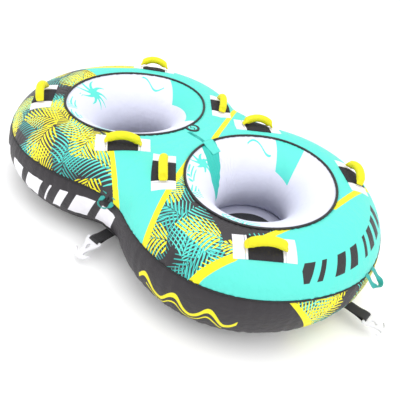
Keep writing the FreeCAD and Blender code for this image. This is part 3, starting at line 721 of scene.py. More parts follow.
class TubeColours(bpy.types.PropertyGroup):
    """Colours of the cloth, trim and plastic."""
    teal: colour_property("Teal", "Panels, flap and fronds", "54D8CA")
    deep_teal: colour_property("Deep teal", "Second layer of fronds and the carry loops", "2FB0A8")
    yellow: colour_property("Yellow", "Stripes, fronds and grips", "EDE300")
    charcoal: colour_property("Charcoal", "Side band and the print's ground", "272328")
    ink: colour_property("Black", "Rim cord, bindings and marks", "19181B")
    guard: colour_property("Guard", "Knuckle guards", "242127")
    black_webbing: colour_property("Black webbing", "Tow straps", "1B1B1D")
    white: colour_property("White", "Handle patches and the band's bars", "EFEDF3")
    liner: colour_property("Liner", "Well liners", "DCDDED")
    # painted shade: a darker copy of the flap's teal, for its cloth on the inner well wall
    shaded_curtain: colour_property("Curtain", "Well wall under the closure flap", "27B9AC")
    plastic: colour_property("White plastic", "Tow connectors", "E2E2E6")
    thread: colour_property("Thread", "Stitches on light cloth", "C9C7D2")
    grey_thread: colour_property("Grey thread", "Stitches on black cloth", "4A494E")


# ---------------------------------------------------------------- the pieces

def zones(p):
    """Signed distances, in metres, to the edges of the frond panels and of the yellow stripes."""
    x, y = p[..., 0], p[..., 1]
    near_rear = np.maximum(line_side(x, y, (-0.235, -0.292), (-0.005, -0.442)), -0.40 - x)
    bent_rear = np.minimum(line_side(x, y, (-0.500, 0.530), (-0.549, 0.436)),
                           line_side(x, y, (-0.549, 0.436), (-0.597, 0.180)))
    near_front = -line_side(x, y, (0.122, -0.191), (0.278, -0.553))
    bent_front = np.minimum(-line_side(x, y, (0.500, -0.530), (0.549, -0.436)),
                            -line_side(x, y, (0.549, -0.436), (0.597, -0.180)))
    far_front = -line_side(x, y, (0.690, 0.530), (0.650, 0.070))
    far_waist = line_side(x, y, (-0.060, 0.383), (0.065, 0.050))
    rear = np.where(y < 0, near_rear, bent_rear)
    near = np.minimum(np.minimum(near_front, bent_front), -0.16 - y)
    far = np.minimum(np.minimum(far_front, far_waist), y - 0.03)
    front = np.where(y < 0, near, far)
    leaf = np.where(x < -0.12, rear, np.where(x > 0.08, front, np.maximum(rear, front)))
    on_rear, on_front = x < 0.12, x > -0.12
    seams = ((near_rear, 0.009, on_rear & (y < 0)), (bent_rear, 0.014, on_rear & (y > 0)),
             (near_front, 0.0105, on_front & (y < -0.15)), (bent_front, 0.012, on_front & (y < 0)),
             (far_front, 0.0125, on_front & (y > 0.05)), (far_waist, 0.0115, on_front & (y > 0.03)))
    stripe = np.full(x.shape, -1.0)
    for edge, width, where in seams:
        stripe = np.maximum(stripe, np.where(where, width - np.abs(edge), -1.0))
    return leaf, stripe


def top_points(heading, rows, sizes):
    """Grid over the front half of the top, from the rim to the upper seam or the middle plane."""
    foot, outward = oval_foot(heading)

    def at(angle):
        return reach_skin(foot, over_tube(outward, angle))

    low, high = np.full(heading.shape, RIM_ANGLE), np.full(heading.shape, math.pi)
    for _ in range(24):
        middle = (low + high) / 2
        p = at(middle)
        fits = (p[:, 0] > 0) & (p[:, 2] > seam_height(p))
        low, high = np.where(fits, middle, low), np.where(fits, high, middle)
    edge = at(low)
    on_seam = smooth_step(0.0, 0.03, edge[:, 0])
    t = np.linspace(0, 1, rows)[None, :]
    angle = RIM_ANGLE + (low[:, None] - RIM_ANGLE) * t
    foot, outward = foot[:, None], outward[:, None]
    p = reach_skin(foot, over_tube(outward, angle))
    p[:, -1, 0] = np.where(edge[:, 0] < 1e-4, 0.0, p[:, -1, 0])
    from_rim, from_seam = TUBE * (angle - RIM_ANGLE), TUBE * (low[:, None] - angle)
    seam_waves = ripple(heading, (83, 109, 131, 163), 3)[:, None]
    rim_waves = ripple(heading, (61, 89, 127), 5)[:, None]
    slow = ripple(heading, (5, 9, 14), 8)[:, None]
    lift = -sizes.pinch * (np.exp(-(from_rim / 0.010) ** 2) + on_seam[:, None] * np.exp(-(from_seam / 0.014) ** 2))
    lift = lift + sizes.pucker * on_seam[:, None] * seam_waves * (0.7 + 0.6 * slow) * np.exp(-from_seam / 0.034)
    lift = lift + 0.6 * sizes.pucker * rim_waves * np.exp(-from_rim / 0.026)
    arc = TUBE * (angle - math.pi / 2)
    cloth = foot + outward * arc[..., None]
    cloth = np.broadcast_to(cloth, p.shape).copy()
    cloth[..., 2] = 0
    normal = skin_normal(p)
    normal[:, -1, 0] = np.where(edge[:, 0] < 1e-4, 0.0, normal[:, -1, 0])
    return p + normal * lift[..., None], cloth, arc


class TUBE_OT_cover(bpy.types.Operator):
    """Make the sewn cover: printed top, side band and bottom, over the air bladder"""
    bl_idname = "tube.cover"
    bl_label = "Cover"

    def execute(self, context):
        sizes, colours = context.scene.tube_sizes, context.scene.tube_colours
        self.top(sizes, colours)
        self.band(sizes, colours)
        self.bottom(sizes)
        self.bladder()
        return {"FINISHED"}

    def top(self, sizes, colours):
        columns, rows = 460, 42
        heading = full_turn(columns, -math.pi)
        front, cloth, arc = top_points(heading, rows, sizes)
        points = np.concatenate([front.reshape(-1, 3), (front * MIRROR_X).reshape(-1, 3)])
        faces = and_turned_over(grid_faces(columns, rows, True), front.size // 3)
        leaf, stripe = zones(points)
        along = np.broadcast_to((heading * 0.41)[:, None], arc.shape)
        away = np.full(points.shape[0] // 2, 9.0)
        tags = {
            "cloth": np.concatenate([cloth.reshape(-1, 3), (cloth * MIRROR_X).reshape(-1, 3)]),
            "leaf": leaf, "stripe": stripe,
            "badge_along": np.concatenate([along.ravel() + 0.015, away]),
            "badge_across": np.concatenate([(arc - 0.136).ravel(), away]),
        }
        piece = new_piece("cover_top", points, faces, top_material(colours), tags, skin_normal, merge=2e-5)
        solidify(piece, sizes.cloth)
        settle(piece, "cover", "printed_nylon", "top_cover")

    def band(self, sizes, colours):
        origin, level = band_stations(150, 46)
        rows = 34
        probe = reach_skin(origin + UP * 0.06, level)
        top, low = seam_height(probe), MID - LOWER_DROP
        t = np.linspace(0, 1, rows)[None, :]
        z = low + (top[:, None] - low) * t
        start = np.broadcast_to(origin[:, None], z.shape + (3,)).copy()
        start[..., 2] = z
        p = reach_skin(start, np.broadcast_to(level[:, None], start.shape))
        plan = probe[:, :2]
        steps = np.linalg.norm(np.roll(plan, -1, 0) - plan, axis=1)
        run = np.concatenate([[0], np.cumsum(steps)[:-1]])
        around = 2 * math.pi * run / steps.sum()
        angle = np.arcsin(np.clip((z - MID) / TUBE, -1, 1)) * TUBE
        from_top, from_low = angle[:, -1:] - angle, angle - angle[:, :1]
        # the puckers only draw the cloth in, so the carry loops can lie against it
        fine = 0.65 * (ripple(around, (151, 187, 223, 277), 11)[:, None] - 1)
        slow = ripple(around, (7, 13, 19), 13)[:, None]
        lean = ripple(around[:, None] + 0.02 * t, (71, 103, 137), 17)
        lift = -sizes.pinch * (np.exp(-(from_top / 0.014) ** 2) + np.exp(-(from_low / 0.014) ** 2))
        near_seams = np.exp(-from_top / 0.030) + np.exp(-from_low / 0.040)
        lift = lift + sizes.pucker * fine * (0.7 + 0.6 * slow) * near_seams
        lift = lift + 0.45 * sizes.pucker * (lean - 1)
        total = steps.sum()
        run = np.where(run > total / 2, run - total, run)[:, None] + 0 * t
        x, y = p[..., 0], p[..., 1]
        edge = 0.357 + (z - MID - 0.077) * 0.63
        leaf = np.where(np.abs(x) > 0.3, edge - np.abs(y), -0.3)
        stripe = np.where(np.abs(x) > 0.3, 0.0075 + (MID + 0.08 - z) * 0.03 - np.abs(leaf) * 0.8, -1.0)
        half = np.abs(run)
        side_run = np.where(run < 0, half, total / 2 - half)
        tags = {
            "cloth": np.stack([run + 2.0, angle, 0 * run], -1).reshape(-1, 3),
            "leaf": leaf.ravel(), "stripe": stripe.ravel(),
            "badge_along": (side_run - (total / 4 + 0.55)).ravel(),
            "badge_across": (angle + 0.030).ravel(),
            "wave_along": (side_run - (total / 4 - 0.50)).ravel(),
            "wave_across": (angle + 0.030).ravel(),
        }
        points = p + skin_normal(p) * lift[..., None]
        faces = grid_faces(*z.shape, True)
        piece = new_piece("cover_band", points.reshape(-1, 3), faces, band_material(colours), tags, skin_normal)
        solidify(piece, sizes.cloth)
        settle(piece, "cover", "band_nylon", "side_band")

    def bottom(self, sizes):
        columns, rows = 220, 26
        heading = full_turn(columns, -math.pi)
        foot, outward = oval_foot(heading)
        end = -math.pi - FOOT_ANGLE
        low, high = np.full(heading.shape, end), np.full(heading.shape, FOOT_ANGLE)
        for _ in range(24):
            middle = (low + high) / 2
            p = reach_skin(foot, over_tube(outward, middle))
            fits = (p[:, 0] > 0) & (p[:, 2] < MID - LOWER_DROP)
            low, high = np.where(fits, low, middle), np.where(fits, middle, high)
        angle = FOOT_ANGLE + (high[:, None] - FOOT_ANGLE) * np.linspace(0, 1, rows)[None, :]
        p = reach_skin(foot[:, None], over_tube(outward[:, None], angle))
        p[:, -1, 0] = np.where(p[:, -1, 0] < 1e-4, 0.0, p[:, -1, 0])
        p[..., 2] = np.maximum(p[..., 2], 0.0)
        points = np.concatenate([p.reshape(-1, 3), (p * MIRROR_X).reshape(-1, 3)])
        faces = and_turned_over(grid_faces(columns, rows, True), p.size // 3)
        cloth = finishes()["heavy coated nylon"]
        piece = new_piece("cover_bottom", points, faces, cloth, None, skin_normal, merge=2e-5)
        solidify(piece, sizes.cloth)
        settle(piece, "cover", "bottom_nylon", "bottom_cover")

    def bladder(self):
        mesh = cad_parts["bladder"].data.copy()
        clean(mesh, 1e-5, False)
        places = np.array([v.co[:] for v in mesh.vertices])
        places = places - skin_normal(places) * 0.006
        mesh.vertices.foreach_set("co", places.astype(np.float32).ravel())
        mesh.materials.clear()
        mesh.materials.append(finishes()["heat-welded PVC film"])
        piece = placed("air_bladder", mesh)
        settle(piece, "cover", "bladder_pvc", "bladder", fill=1.0)


def band_stations(around_end, through_waist):
    """Origins and level directions of rays that fan out round the figure-eight, as a closed loop from the front."""
    last = math.radians(112)
    foot, outward = oval_foot(np.linspace(0, last, around_end, endpoint=False))
    t = smooth_step(0, 1, np.linspace(0, 1, through_waist))
    begin = oval_foot(np.array([last]))[0][0]
    start = begin + (np.array([0.0, WAIST_REACH, MID]) - begin) * t[:, None]
    turn = last + (math.pi / 2 - last) * t
    start = np.concatenate([foot, start])
    level = np.concatenate([outward, np.stack([np.cos(turn), np.sin(turn), 0 * turn], -1)])
    mirror_y = np.array([1.0, -1.0, 1.0])
    back = slice(-2, None, -1)
    half = [np.concatenate([v, v[back] * MIRROR_X]) for v in (start, level)]
    return [np.concatenate([v, v[-2:0:-1] * mirror_y]) for v in half]


class TUBE_OT_wells(bpy.types.Operator):
    """Make both seat wells: liner, drain mesh floor and rim cord"""
    bl_idname = "tube.wells"
    bl_label = "Seat wells"

    def execute(self, context):
        sizes, colours = context.scene.tube_sizes, context.scene.tube_colours
        liner = liner_material(colours)
        for name, ring in (("front", 1), ("rear", -1)):
            mirror = np.array([float(ring), 1.0, 1.0])
            self.liner(name, ring, mirror, liner, sizes)
            self.floor(name, mirror, colours)
            self.cord(name, ring, mirror, sizes)
        return {"FINISHED"}

    def liner(self, name, ring, mirror, material, sizes):
        columns, rows = 400, 80
        heading = full_turn(columns, -math.pi)
        foot, outward = oval_foot(heading)
        t = np.linspace(0, 1, rows)[None, :]
        angle = RIM_ANGLE + (FOOT_ANGLE - RIM_ANGLE) * t + 0 * heading[:, None]
        way = over_tube(outward[:, None], angle)
        depth, rise = TUBE * (RIM_ANGLE - angle), TUBE * (angle - FOOT_ANGLE)
        upper, lower = ripple(heading, (41, 67, 89), 21)[:, None], ripple(heading, (37, 59, 83), 23)[:, None]
        lift = -0.0015 * np.exp(-(depth / 0.01) ** 2) + 0.5 * sizes.pucker * upper * np.exp(-depth / 0.03)
        lift = lift + 0.9 * sizes.pucker * lower * np.exp(-rise / 0.05)
        drape = smooth_step(0.0, 0.03, 0.125 - np.abs(foot[:, 1] + 0.02)) * (np.cos(heading) < 0) * (ring > 0)
        folds = np.sin((foot[:, None, 1] + 0.5 * depth) * 260)
        lift = lift + 0.0020 * drape[:, None] * folds * smooth_step(0.01, 0.06, depth)
        p = (foot[:, None] + way * (TUBE + lift)[..., None]) * mirror
        around = (heading * 0.26)[:, None] + 0 * t
        plan = p[..., :2] - np.array([ring * RING_OFFSET, 0.0])
        x, y = plan[..., 0], plan[..., 1]
        # distance along the wall, from the front direction towards the left side
        along = 0.30 * np.arctan2(y, x)
        stroke = 0.0055 - np.abs(depth - 0.062 - 0.036 * np.sin(along * 34))
        if ring > 0:
            sail = inside(along, depth, ((0.602, -0.01), (0.476, -0.01), (0.4215, 0.190), (0.534, 0.160)))
            stroke = np.where((along > 0.59) & (along < 0.73), stroke, -1.0)
            palm = burst(along, depth, (-0.800, 0.056), 0.062, 8)
            # the closure flap's cloth runs on down this wall, drawn to one side and in to a point
            low, high = -np.minimum(0.046 + 0.52 * depth, 0.117), 0.045 - 0.45 * depth - 0.75 * depth ** 2
            # this zone gets the darker teal, painted shade on the wall
            shaded_curtain = np.where(x < 0, np.minimum(np.minimum(y - low, high - y), 0.222 - depth), -1.0)
        else:
            sail = inside(along, depth, ((0.576, -0.01), (0.105, -0.01), (0.105, 0.060), (0.455, 0.139)))
            stroke = np.where((along > 0.56) & (along < 0.70), stroke, -1.0)
            palm = burst(along, depth, (-0.820, 0.080), 0.095, 9)
            shaded_curtain = np.full(x.shape, -1.0)
        leafy = np.minimum(np.minimum(depth - 0.010, 0.055 - depth), 0.22 - np.abs(along + 0.52))
        tags = {
            "cloth": np.stack([around + ring, depth, 0 * around], -1).reshape(-1, 3),
            "shapes": np.maximum(np.maximum(sail, stroke), palm).ravel(),
            "shaded_curtain": shaded_curtain.ravel(), "leafy": leafy.ravel(),
        }
        centre = np.array([ring * RING_OFFSET, 0.0, MID])
        faces = grid_faces(columns, rows, True)
        piece = new_piece(f"well_lining_{name}", p.reshape(-1, 3), faces, material, tags,
                          lambda m: (centre - m) * np.array([1.0, 1.0, 0.0]))
        solidify(piece, sizes.cloth)
        settle(piece, "cover", "liner_nylon", f"well_liner_{name}")

    def floor(self, name, mirror, colours):
        columns, rows = 120, 14
        heading = full_turn(columns, -math.pi)
        foot, outward = oval_foot(heading)
        edge = foot - outward * (TUBE * math.cos(FOOT_ANGLE) - 0.0005)
        centre = np.array([RING_OFFSET, 0.0, MID])
        t = np.linspace(0.0, 1, rows)[None, :, None]
        p = centre + (edge[:, None] - centre) * t
        p[..., 2] = MID - LOWER_DROP + 0.0022 - 0.007 * (1 - t[..., 0] ** 2)
        net = np.broadcast_to(0.74 - t[..., 0], p.shape[:2]).ravel()
        faces = grid_faces(columns, rows, True)
        piece = new_piece(f"drain_floor_{name}", (p * mirror).reshape(-1, 3), faces, mesh_material(colours),
                          {"net": net}, lambda m: 0 * m + UP, merge=1e-6)
        solidify(piece, 0.0016)
        settle(piece, "cover", "drain_mesh", f"well_floor_{name}")

    def cord(self, name, ring, mirror, sizes):
        heading = full_turn(300, -math.pi)
        gap = 0.036 if ring > 0 else 0.0
        foot, outward = oval_foot(heading)
        if ring > 0:
            turn = math.pi - math.asin(gap / SIDE_RADIUS)
            heading = np.linspace(-turn, turn, 300)
            foot, outward = oval_foot(heading)
        way = over_tube(outward, np.full(heading.shape, RIM_ANGLE))
        path = (foot + way * (TUBE + 0.0005)) * mirror
        piece = sweep(f"rim_cord_{name}", path, outward * mirror, UP, circle(sizes.bead, 10),
                      finishes()["vinyl welt cord"], closed=ring < 0)
        settle(piece, "cover", "piping", f"rim_piping_{name}")


def tape_over(name, path, normal, width, thickness, material):
    """A thin tape that lies along a closed path on the cover."""
    ahead = unit(np.roll(path, -1, 0) - np.roll(path, 1, 0))
    side = np.cross(normal, ahead)
    return sweep(name, path, side, normal, strip_profile(width, thickness, 1), material, closed=True)


class TUBE_OT_seams(bpy.types.Operator):
    """Make the binding tapes over the upper and lower seams, with their stitches"""
    bl_idname = "tube.seams"
    bl_label = "Seam bindings"

    def execute(self, context):
        sizes = context.scene.tube_sizes
        origin, level = band_stations(260, 60)
        probe = reach_skin(origin + UP * 0.06, level)
        lines = []
        seams = (("upper", seam_height(probe), "upper_seam_binding"),
                 ("lower", np.full(len(probe), MID - LOWER_DROP), "lower_seam_binding"))
        for name, height, node in seams:
            start = origin.copy()
            start[:, 2] = height
            path = reach_skin(start, level)
            normal = skin_normal(path)
            path = path - normal * (sizes.pinch - 0.0010)
            piece = tape_over(f"binding_{name}", path, normal, sizes.tape, 0.002, finishes()["woven binding tape"])
            settle(piece, "cover", "seam_tape", node)
            lines.append((path + normal * 0.0012, True))
        stitch = (sizes.stitch, 0.0009, 0.0009)
        stitches = beads("binding_stitches", lines, sizes.stitch * 1.5, stitch, finishes()["grey polyester thread"])
        settle(stitches, "cover", "seam_tape")
        return {"FINISHED"}


def handle_frame(ring, side, place):
    """A handle's middle on the cover, with its along, across and up directions."""
    heading, out = HANDLES[place]
    foot, outward = oval_foot(np.array([side * math.radians(heading)]))
    mirror = np.array([float(ring), 1.0, 1.0])
    foot, outward = foot[0] * mirror, outward[0] * mirror
    up = outward * (out / TUBE) + UP * math.sqrt(1 - (out / TUBE) ** 2)
    along = np.cross(UP, outward)
    return foot + up * TUBE, along, np.cross(up, along), up


class TUBE_OT_handles(bpy.types.Operator):
    """Make the eight grab handles: guard, end patches, stitches and wrapped foam grip"""
    bl_idname = "tube.handles"
    bl_label = "Grab handles"

    def execute(self, context):
        for ring_name, ring in (("front", 1), ("rear", -1)):
            for side_name, side in (("left", 1), ("right", -1)):
                for place in ("end", "waist"):
                    self.handle(context, f"{ring_name}_{side_name}_{place}", handle_frame(ring, side, place))
        return {"FINISHED"}

    def handle(self, context, name, spot):
        sizes = context.scene.tube_sizes
        middle, along, across = spot[:3]

        def place(s, c):
            return on_skin(middle + along * s[..., None] + across * c[..., None])

        rng = np.random.default_rng(sum(ord(c) for c in name))
        phase = rng.uniform(0, 6)

        def guard_relief(s, c):
            edge = np.minimum(GUARD_LONG - np.abs(s), GUARD_WIDE - np.abs(c))
            puff = 0.0022 * smooth_step(0.004, 0.020, edge)
            sewn = -0.0012 * np.exp(-((edge - 0.005) / 0.0018) ** 2)
            crease = 0.0007 * np.sin(s * 95 + phase) * np.sin(c * 60 + phase)
            return puff + sewn + crease * smooth_step(0.004, 0.015, edge)

        guard = slab(f"guard_{name}", place, with_edges(-GUARD_LONG, GUARD_LONG, 0.0028),
                     with_edges(-GUARD_WIDE, GUARD_WIDE, 0.0028), 0.0036, -0.0012,
                     finishes()["fabric-faced foam"], guard_relief)
        settle(guard, "cover", "guard_neoprene", f"handle_{name}_pad", fill=0.4)

        pieces, lines = [], []
        for end in (-1, 1):
            for inner, outer, tall in ((0.0585, 0.0665, 0.0034), (0.0675, 0.108, 0.0024)):
                low, high = sorted((end * inner, end * outer))
                along_it = with_edges(low, high, 0.004, 0.0008)
                across_it = with_edges(-GUARD_WIDE, GUARD_WIDE, 0.004, 0.0008)
                vinyl = finishes()["white coated vinyl"]
                pieces.append(slab("patch part", place, along_it, across_it, tall, -0.0010, vinyl))
            corners = ((0.0700, -0.0425), (0.1045, -0.0425), (0.1045, 0.0425), (0.0700, 0.0425))
            box = [(end * s, c) for s, c in corners]
            lines.append((self.outline(place, box, 0.0027), True))
        patches = join(f"patches_{name}", pieces)
        settle(patches, "cover", "patch_vinyl", f"handle_{name}_patches")
        stitch = (sizes.stitch, 0.0009, 0.0009)
        thread = finishes()["polyester thread"]
        stitches = beads(f"patch_stitches_{name}", lines, sizes.stitch * 1.4, stitch, thread)
        settle(stitches, "cover", "patch_vinyl")
        grip = self.grip(f"grip_{name}", spot, sizes, phase)
        settle(grip, f"handle_{name}", "grip_wrap", f"handle_{name}_grip", f"handle_{name}_webbing", fill=0.9)

    def outline(self, place, corners, lift):
        """Points along the sides of a box on the cover."""
        corners = np.array(corners)
        sides = [np.linspace(a, b, 10, endpoint=False) for a, b in zip(corners, np.roll(corners, -1, 0))]
        s, c = np.concatenate(sides).T
        p = place(s, c)
        return p + skin_normal(p) * lift

    def grip(self, name, spot, sizes, phase):
        middle, along, across, up = spot
        half, rise, base = 0.061, 0.024, 0.0205
        radius = (half ** 2 + rise ** 2) / (2 * rise)
        swing = math.asin(half / radius)
        reach = 1.19
        t = np.linspace(-reach, reach, 57)
        arch = np.clip(t, -1, 1) * swing
        s, h = radius * np.sin(arch), base + rise - radius + radius * np.cos(arch)
        past = np.maximum(np.abs(t) - 1, 0) / (reach - 1)
        s = s + np.sign(t) * 0.0085 * past
        h = h - 0.0115 * past ** 1.3
        path = middle + along * s[:, None] + up * h[:, None]
        side, lift = path_frames(path, np.broadcast_to(across, path.shape))
        flat = smooth_step(0.80, 1.12, np.abs(t))
        wide = sizes.grip * (1 - 0.02 * flat) * (1 - 0.25 * smooth_step(1.12, 1.19, np.abs(t)))
        thick = sizes.grip * (1 - 0.70 * flat)
        turn = full_turn(28)
        gathers = 1 + 0.035 * np.sin(turn * 9 + phase)[None, :] * np.exp(-((np.abs(t) - 0.93) / 0.12) ** 2)[:, None]
        creases = 1 + 0.012 * np.sin(t * 21 + phase)[:, None] * np.cos(turn * 2 + phase)[None, :]
        profile = np.stack([np.cos(turn)[None, :] * wide[:, None], np.sin(turn)[None, :] * thick[:, None]], -1)
        profile = profile * (gathers * creases)[..., None]
        return sweep(name, path, side, lift, profile, finishes()["woven yellow nylon"])


def join(name, pieces):
    """One mesh object from several."""
    bm = bmesh.new()
    for piece in pieces:
        bm.from_mesh(piece.data)
    mesh = pieces[0].data
    bm.to_mesh(mesh)
    bm.free()
    kept = pieces[0]
    for piece in pieces[1:]:
        bpy.data.objects.remove(piece)
    kept.name = mesh.name = name
    return kept


class TUBE_OT_bridge_trim(bpy.types.Operator):
    """Make the closure flap, the badge, the zipper and the air valve"""
    bl_idname = "tube.bridge_trim"
    bl_label = "Bridge trim"

    def execute(self, context):
        self.flap()
        self.badge(context.scene.tube_colours)
        self.zipper()
        for node in ("valve_base", "valve_plug"):
            paint(node, "moulded soft PVC")
        paint("zipper_slider", "enamelled die casting")
        return {"FINISHED"}

    def flap(self):
        y = with_edges(-0.033, 0.033, 0.006)
        # it starts where the frame's flap does, clear of the zip's slider at the end of its run
        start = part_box("closure_flap")[0][0] - (RING_OFFSET + SIDE_CENTRE - SIDE_RADIUS)
        angle = np.linspace(math.acos(start / TUBE), math.radians(59), 36)
        a, c = np.meshgrid(angle, y, indexing="ij")
        heading = math.pi - np.arcsin(c / SIDE_RADIUS)
        foot, outward = oval_foot(heading)
        way = over_tube(outward, a)
        lift = 0.0052 * np.exp(-((a - RIM_ANGLE) / 0.05) ** 2) + 0.0018
        outer = foot + way * (TUBE + lift)[..., None]
        inner = foot + way * (TUBE + lift - np.where(sheet_rim(a.shape), 0, 0.0014))[..., None]
        points = np.concatenate([outer.reshape(-1, 3), inner.reshape(-1, 3)])
        faces = and_turned_over(grid_faces(*a.shape), a.size)
        piece = new_piece("closure_cloth", points, faces, finishes()["teal coated nylon"], merge=1e-6)
        settle(piece, "cover", "teal_nylon", "closure_flap")

    def badge(self, colours):
        low, high = (np.array(v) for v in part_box("emblem_badge"))
        centre = (low + high) / 2
        turn = full_turn(64)
        radius = np.array([0.0, 0.008, 0.016, 0.0205, 0.0215, 0.0300, 0.0313, 0.0315])
        height = np.array([0.0022, 0.0022, 0.0022, 0.0022, 0.0040, 0.0040, 0.0034, -0.0006])
        t, r = np.meshgrid(turn, radius, indexing="ij")
        flat = np.stack([r * np.cos(t), r * np.sin(t), 0 * r], -1)
        p = on_skin(flat + np.array([centre[0], centre[1], MID + TUBE]), np.broadcast_to(height, r.shape))
        faces = [tuple(f) for f in grid_faces(64, len(radius), True)]
        faces.append(tuple(i * len(radius) + len(radius) - 1 for i in range(64)))
        tags = {"cloth": flat.reshape(-1, 3)}
        piece = new_piece("round_badge", p.reshape(-1, 3), faces, badge_material(colours), tags, merge=1e-6)
        settle(piece, "cover", "emblem_print", "emblem_badge")

    def zipper(self):
        low, high = (np.array(v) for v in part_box("zipper_tape"))
        middle = (low + high) / 2

        def place(s, c):
            return on_skin(np.stack([middle[0] + s, middle[1] + c, 0 * s + MID + TUBE], -1))

        half = (high - low) / 2
        tape = slab("zip_band", place, with_edges(-half[0], half[0], 0.004), with_edges(-half[1], half[1], 0.004),
                    0.0004, -0.0012, finishes()["woven zip tape"])
        settle(tape, "cover", "zip_tape", "zipper_tape")
        reach, level = half[0] - 0.004, MID + TUBE + 0.0002
        row = [(np.array([[middle[0] + s, middle[1] + c, level] for s in (-reach, reach)]), False)
               for c in (-0.0011, 0.0011)]
        coil = beads("zip_coil", row, 0.0016, (0.0011, 0.0026, 0.0012), finishes()["nylon zip coil"])
        settle(coil, "cover", "zip_tape")


def paint(node, material):
    """Gives a carried-over CAD node its finish."""
    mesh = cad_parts[node]
    mesh.data.materials.clear()
    mesh.data.materials.append(finishes()[material])


def ribbon(name, path, side, width, thickness, material):
    """Webbing along a path, tagged with its own length and width for the weave."""
    side, lift = path_frames(path, side)
    profile = strip_profile(width, thickness)
    piece = sweep(name, path, side, lift, profile, material)
    run = np.concatenate([[0], np.cumsum(np.linalg.norm(np.diff(path, axis=0), axis=1))])
    grid = (len(path), len(profile))
    cloth = np.stack([np.broadcast_to(run[:, None], grid), np.broadcast_to(profile[:, 0], grid), np.zeros(grid)], -1)
    set_tags(piece.data, {"cloth": cloth})
    return piece


def smooth_path(corners, count):
    """Even points along a smooth curve through corner points."""
    corners = np.array(corners, float)
    knots = np.concatenate([[0], np.cumsum(np.linalg.norm(np.diff(corners, axis=0), axis=1))])
    t = np.linspace(0, knots[-1], count)
    slopes = np.gradient(corners, knots, axis=0)
    i = np.clip(np.searchsorted(knots, t, side="right") - 1, 0, len(knots) - 2)
    h = (knots[i + 1] - knots[i])[:, None]
    u = ((t - knots[i])[:, None]) / h
    a, b, m, n = corners[i], corners[i + 1], slopes[i] * h, slopes[i + 1] * h
    ends = (2 * u ** 3 - 3 * u ** 2 + 1) * a + (3 * u ** 2 - 2 * u ** 3) * b
    return ends + (u ** 3 - 2 * u ** 2 + u) * m + (u ** 3 - u ** 2) * n


class TUBE_OT_tow_points(bpy.types.Operator):
    """Make both tow points: sewn patch, doubled webbing strap and moulded connector"""
    bl_idname = "tube.tow_points"
    bl_label = "Tow points"

    def execute(self, context):
        points = (("front", FRONT_ROOT, np.array([1.0, 0.0, 0.0]), 8.0),
                  ("side", SIDE_ROOT, np.array([0.0, -1.0, 0.0]), 24.0))
        for name, root, outward, droop in points:
            across = np.cross(UP, outward)
            self.patch(name, root, across)
            self.strap(name, root, outward, across)
            self.connector(name, root + outward * STRAP_LENGTH, outward, across, math.radians(droop))
        return {"FINISHED"}

    def patch(self, name, root, across):
        start = on_skin(root)
        slope = np.cross(skin_normal(start), across)

        def place(s, c):
            return on_skin(start + across * s[..., None] + slope * c[..., None])

        piece = slab(f"strap_patch_{name}", place, with_edges(-0.033, 0.033, 0.004), with_edges(-0.042, 0.042, 0.004),
                     0.0024, -0.001, finishes()["black nylon webbing"])
        settle(piece, "cover", "black_webbing", f"tow_patch_{name}")

    def strap(self, name, root, outward, across):
        bar = STRAP_LENGTH
        corners = [(-0.001, 0.0014), (0.03, 0.0016), (0.062, 0.0024), (bar - 0.012, 0.0065)]
        loop = [(bar + 0.0068 * math.cos(a), 0.0068 * math.sin(a)) for a in np.radians([100, 55, 10, -35, -80, -110])]
        back = [(bar - 0.016, -0.0045), (0.062, -0.0016), (0.03, -0.0012), (-0.001, -0.0012)]
        plan = np.array(corners + loop + back)
        path = smooth_path(root + outward * plan[:, :1] + UP * plan[:, 1:], 64)
        side = np.broadcast_to(across, path.shape)
        piece = ribbon(f"tow_webbing_{name}", path, side, 0.050, 0.0020, finishes()["black nylon webbing"])
        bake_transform(piece)
        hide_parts(f"tow_strap_{name}")

    def connector(self, name, bar, outward, across, droop):
        ahead = outward * math.cos(droop) - UP * math.sin(droop)
        lift = np.cross(ahead, across)
        lift = lift if lift[2] > 0 else -lift
        body = connector_mesh(f"tow_hook_{name}", bar, ahead, across, lift, finishes()["moulded white nylon"])
        settle(body, f"tow_connector_{name}", "connector_nylon", f"tow_connector_{name}")


